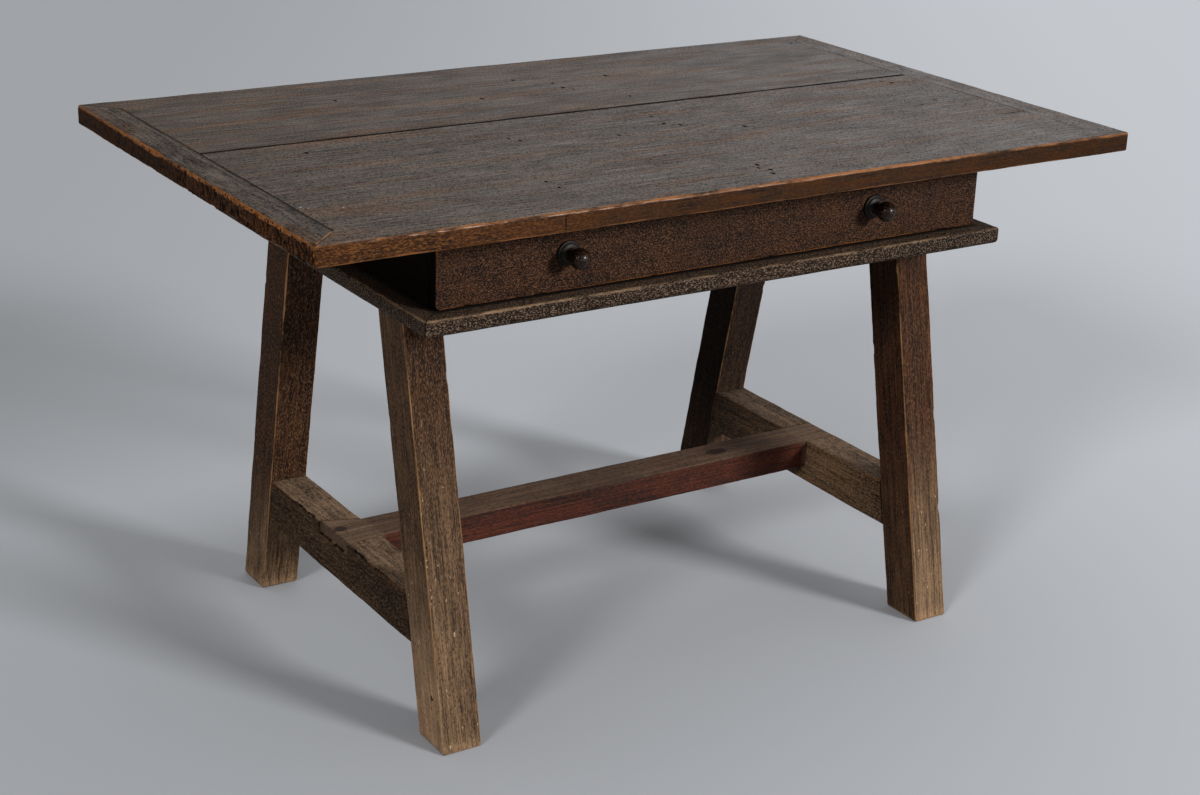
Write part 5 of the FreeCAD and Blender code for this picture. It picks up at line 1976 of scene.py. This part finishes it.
@dataclass
class Studio:
    """A pale floor with painted shade towards the left, soft light and the camera."""

    floor_grey: Rgb = srgb(190, 193, 198)
    floor_reach: float = 40.0
    floor_count: int = 9
    floor_drop: float = 0.5 * MM
    backdrop: Rgb = srgb(170, 173, 178)
    ambient: float = 0.38
    tilt: float = 0.40
    lift: float = 0.9
    paling: Span = (0.22, 1.75)
    paling_span: float = 0.36
    horizon: Span = (0.02, 0.16)
    away: Rgb = (0.547, 0.837, 0.0)
    aside: Rgb = (0.837, -0.547, 0.0)
    # painted shade: how far the floor's colour is darkened at the left
    dim: float = 0.62
    dim_span: Span = (2.2, -1.8)
    lamps: tuple[Lamp, ...] = (Lamp("key_light", 27.5, 21, 13, 3.0), Lamp("fill_light", -63, 28, 14, 1.4))
    lamp_distance: float = 4.0
    lens: float = 64.04
    camera_place: Rgb = (-1.6792, -2.5718, 1.4910)
    azimuth: float = -33.1957
    elevation: float = 20.6587
    roll: float = 1.9917

    def build(self) -> None:
        """Adds the floor, the lights, the world and the camera."""
        self.add_floor()
        for lamp in self.lamps:
            self.add_lamp(lamp)
        self.light_world()
        self.add_camera()

    def add_floor(self) -> None:
        """A wide floor whose colour darkens gently towards the left, as painted shade for light falling off
        on that side.
        """
        mesh = bpy.data.meshes.new("floor")
        count = self.floor_count
        steps = np.linspace(-self.floor_reach, self.floor_reach, count)
        points = [(x, y, -self.floor_drop) for y in steps for x in steps]
        faces = [(r * count + c, r * count + c + 1, (r + 1) * count + c + 1, (r + 1) * count + c)
                 for r in range(count - 1) for c in range(count - 1)]
        mesh.from_pydata(points, [], faces)
        floor = bpy.data.objects.new("floor", mesh)
        bpy.context.scene.collection.objects.link(floor)
        material = bpy.data.materials.new("floor")
        material.use_nodes = True
        graph = Graph(material.node_tree)
        sideways = graph.vector("DOT_PRODUCT", graph.node("TexCoord").outputs["Object"], self.aside)
        shaded_grey = tuple(self.dim * part for part in self.floor_grey)
        colour = graph.mix(graph.step(sideways, *self.dim_span), self.floor_grey, shaded_grey)
        shader = graph.node("BsdfPrincipled", None, Base_Color=colour)
        shader.inputs["Roughness"].default_value = 0.9
        shader.inputs["Specular IOR Level"].default_value = 0.1
        graph.node("OutputMaterial", None, Surface=shader.outputs[0])
        mesh.materials.append(material)

    def add_lamp(self, lamp: Lamp) -> None:
        """Adds a lamp that shines on the table.

        Args:
            lamp: The lamp.
        """
        light = bpy.data.lights.new(lamp.name, "SUN")
        light.angle, light.energy = math.radians(lamp.spread), lamp.strength
        holder = bpy.data.objects.new(lamp.name, light)
        away = heading(lamp.azimuth, lamp.elevation)
        holder.location = away * self.lamp_distance
        holder.rotation_euler = away.to_track_quat("Z", "Y").to_euler()
        bpy.context.scene.collection.objects.link(holder)

    def light_world(self) -> None:
        """Soft light, most of it from above and behind, and a grey backdrop where it is seen."""
        world = bpy.data.worlds.new("studio")
        world.use_nodes = True
        graph = Graph(world.node_tree)
        path = graph.node("LightPath").outputs
        seen = graph.math("MAXIMUM", path["Is Camera Ray"], path["Is Glossy Ray"])
        seen = graph.math("MAXIMUM", seen, path["Is Transmission Ray"])
        sky = graph.node("TexCoord").outputs["Generated"]
        height = graph.node("SeparateXYZ", None, Vector=sky).outputs[2]
        above = graph.line(graph.math("SUBTRACT", height, 0.5), self.lift, self.ambient)
        glow = graph.line(graph.vector("DOT_PRODUCT", sky, self.away), self.tilt, above)
        right = graph.step(graph.vector("DOT_PRODUCT", sky, self.aside), -self.paling_span, self.paling_span)
        wall = graph.mix(right, *(tuple(share * part for part in self.backdrop) for share in self.paling))
        wall = graph.mix(graph.step(height, *self.horizon), self.backdrop, wall)
        light = graph.node("Background", None, Color=graph.mix(seen, glow, wall), Strength=1.0)
        graph.node("OutputWorld", None, Surface=light.outputs[0])
        bpy.context.scene.world = world

    def add_camera(self) -> None:
        """The camera, at the photograph's viewing angle."""
        back, roll = heading(self.azimuth, self.elevation), math.radians(self.roll)
        right = (-back).cross(Vector((0, 0, 1))).normalized()
        up = right.cross(-back)
        level = math.cos(roll) * right + math.sin(roll) * up
        upright = math.cos(roll) * up - math.sin(roll) * right
        data = bpy.data.cameras.new("camera")
        data.lens, data.clip_end = self.lens, 200.0
        camera = bpy.data.objects.new("camera", data)
        turn = Matrix((level, upright, back)).transposed().to_4x4()
        camera.matrix_world = Matrix.Translation(Vector(self.camera_place)) @ turn
        bpy.context.scene.collection.objects.link(camera)
        bpy.context.scene.camera = camera


def corners(box: tuple[Vector, Vector]) -> list[list[float]]:
    """A box's two corners as plain lists."""
    return [list(corner) for corner in box]


def main() -> None:
    """Loads the frame, builds the table round it and sets the studio."""
    logging.basicConfig(level=logging.INFO, format="%(name)s: %(message)s")
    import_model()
    finishes = Finishes()
    for assembly in (TableTop, BaseFrame, DrawerCase, Trestles, Drawer):
        assembly(finishes).build()
    Studio().build()
    bpy.context.scene.view_settings.view_transform = "Standard"
    bpy.context.view_layer.update()


if __name__ == "__main__":
    main()
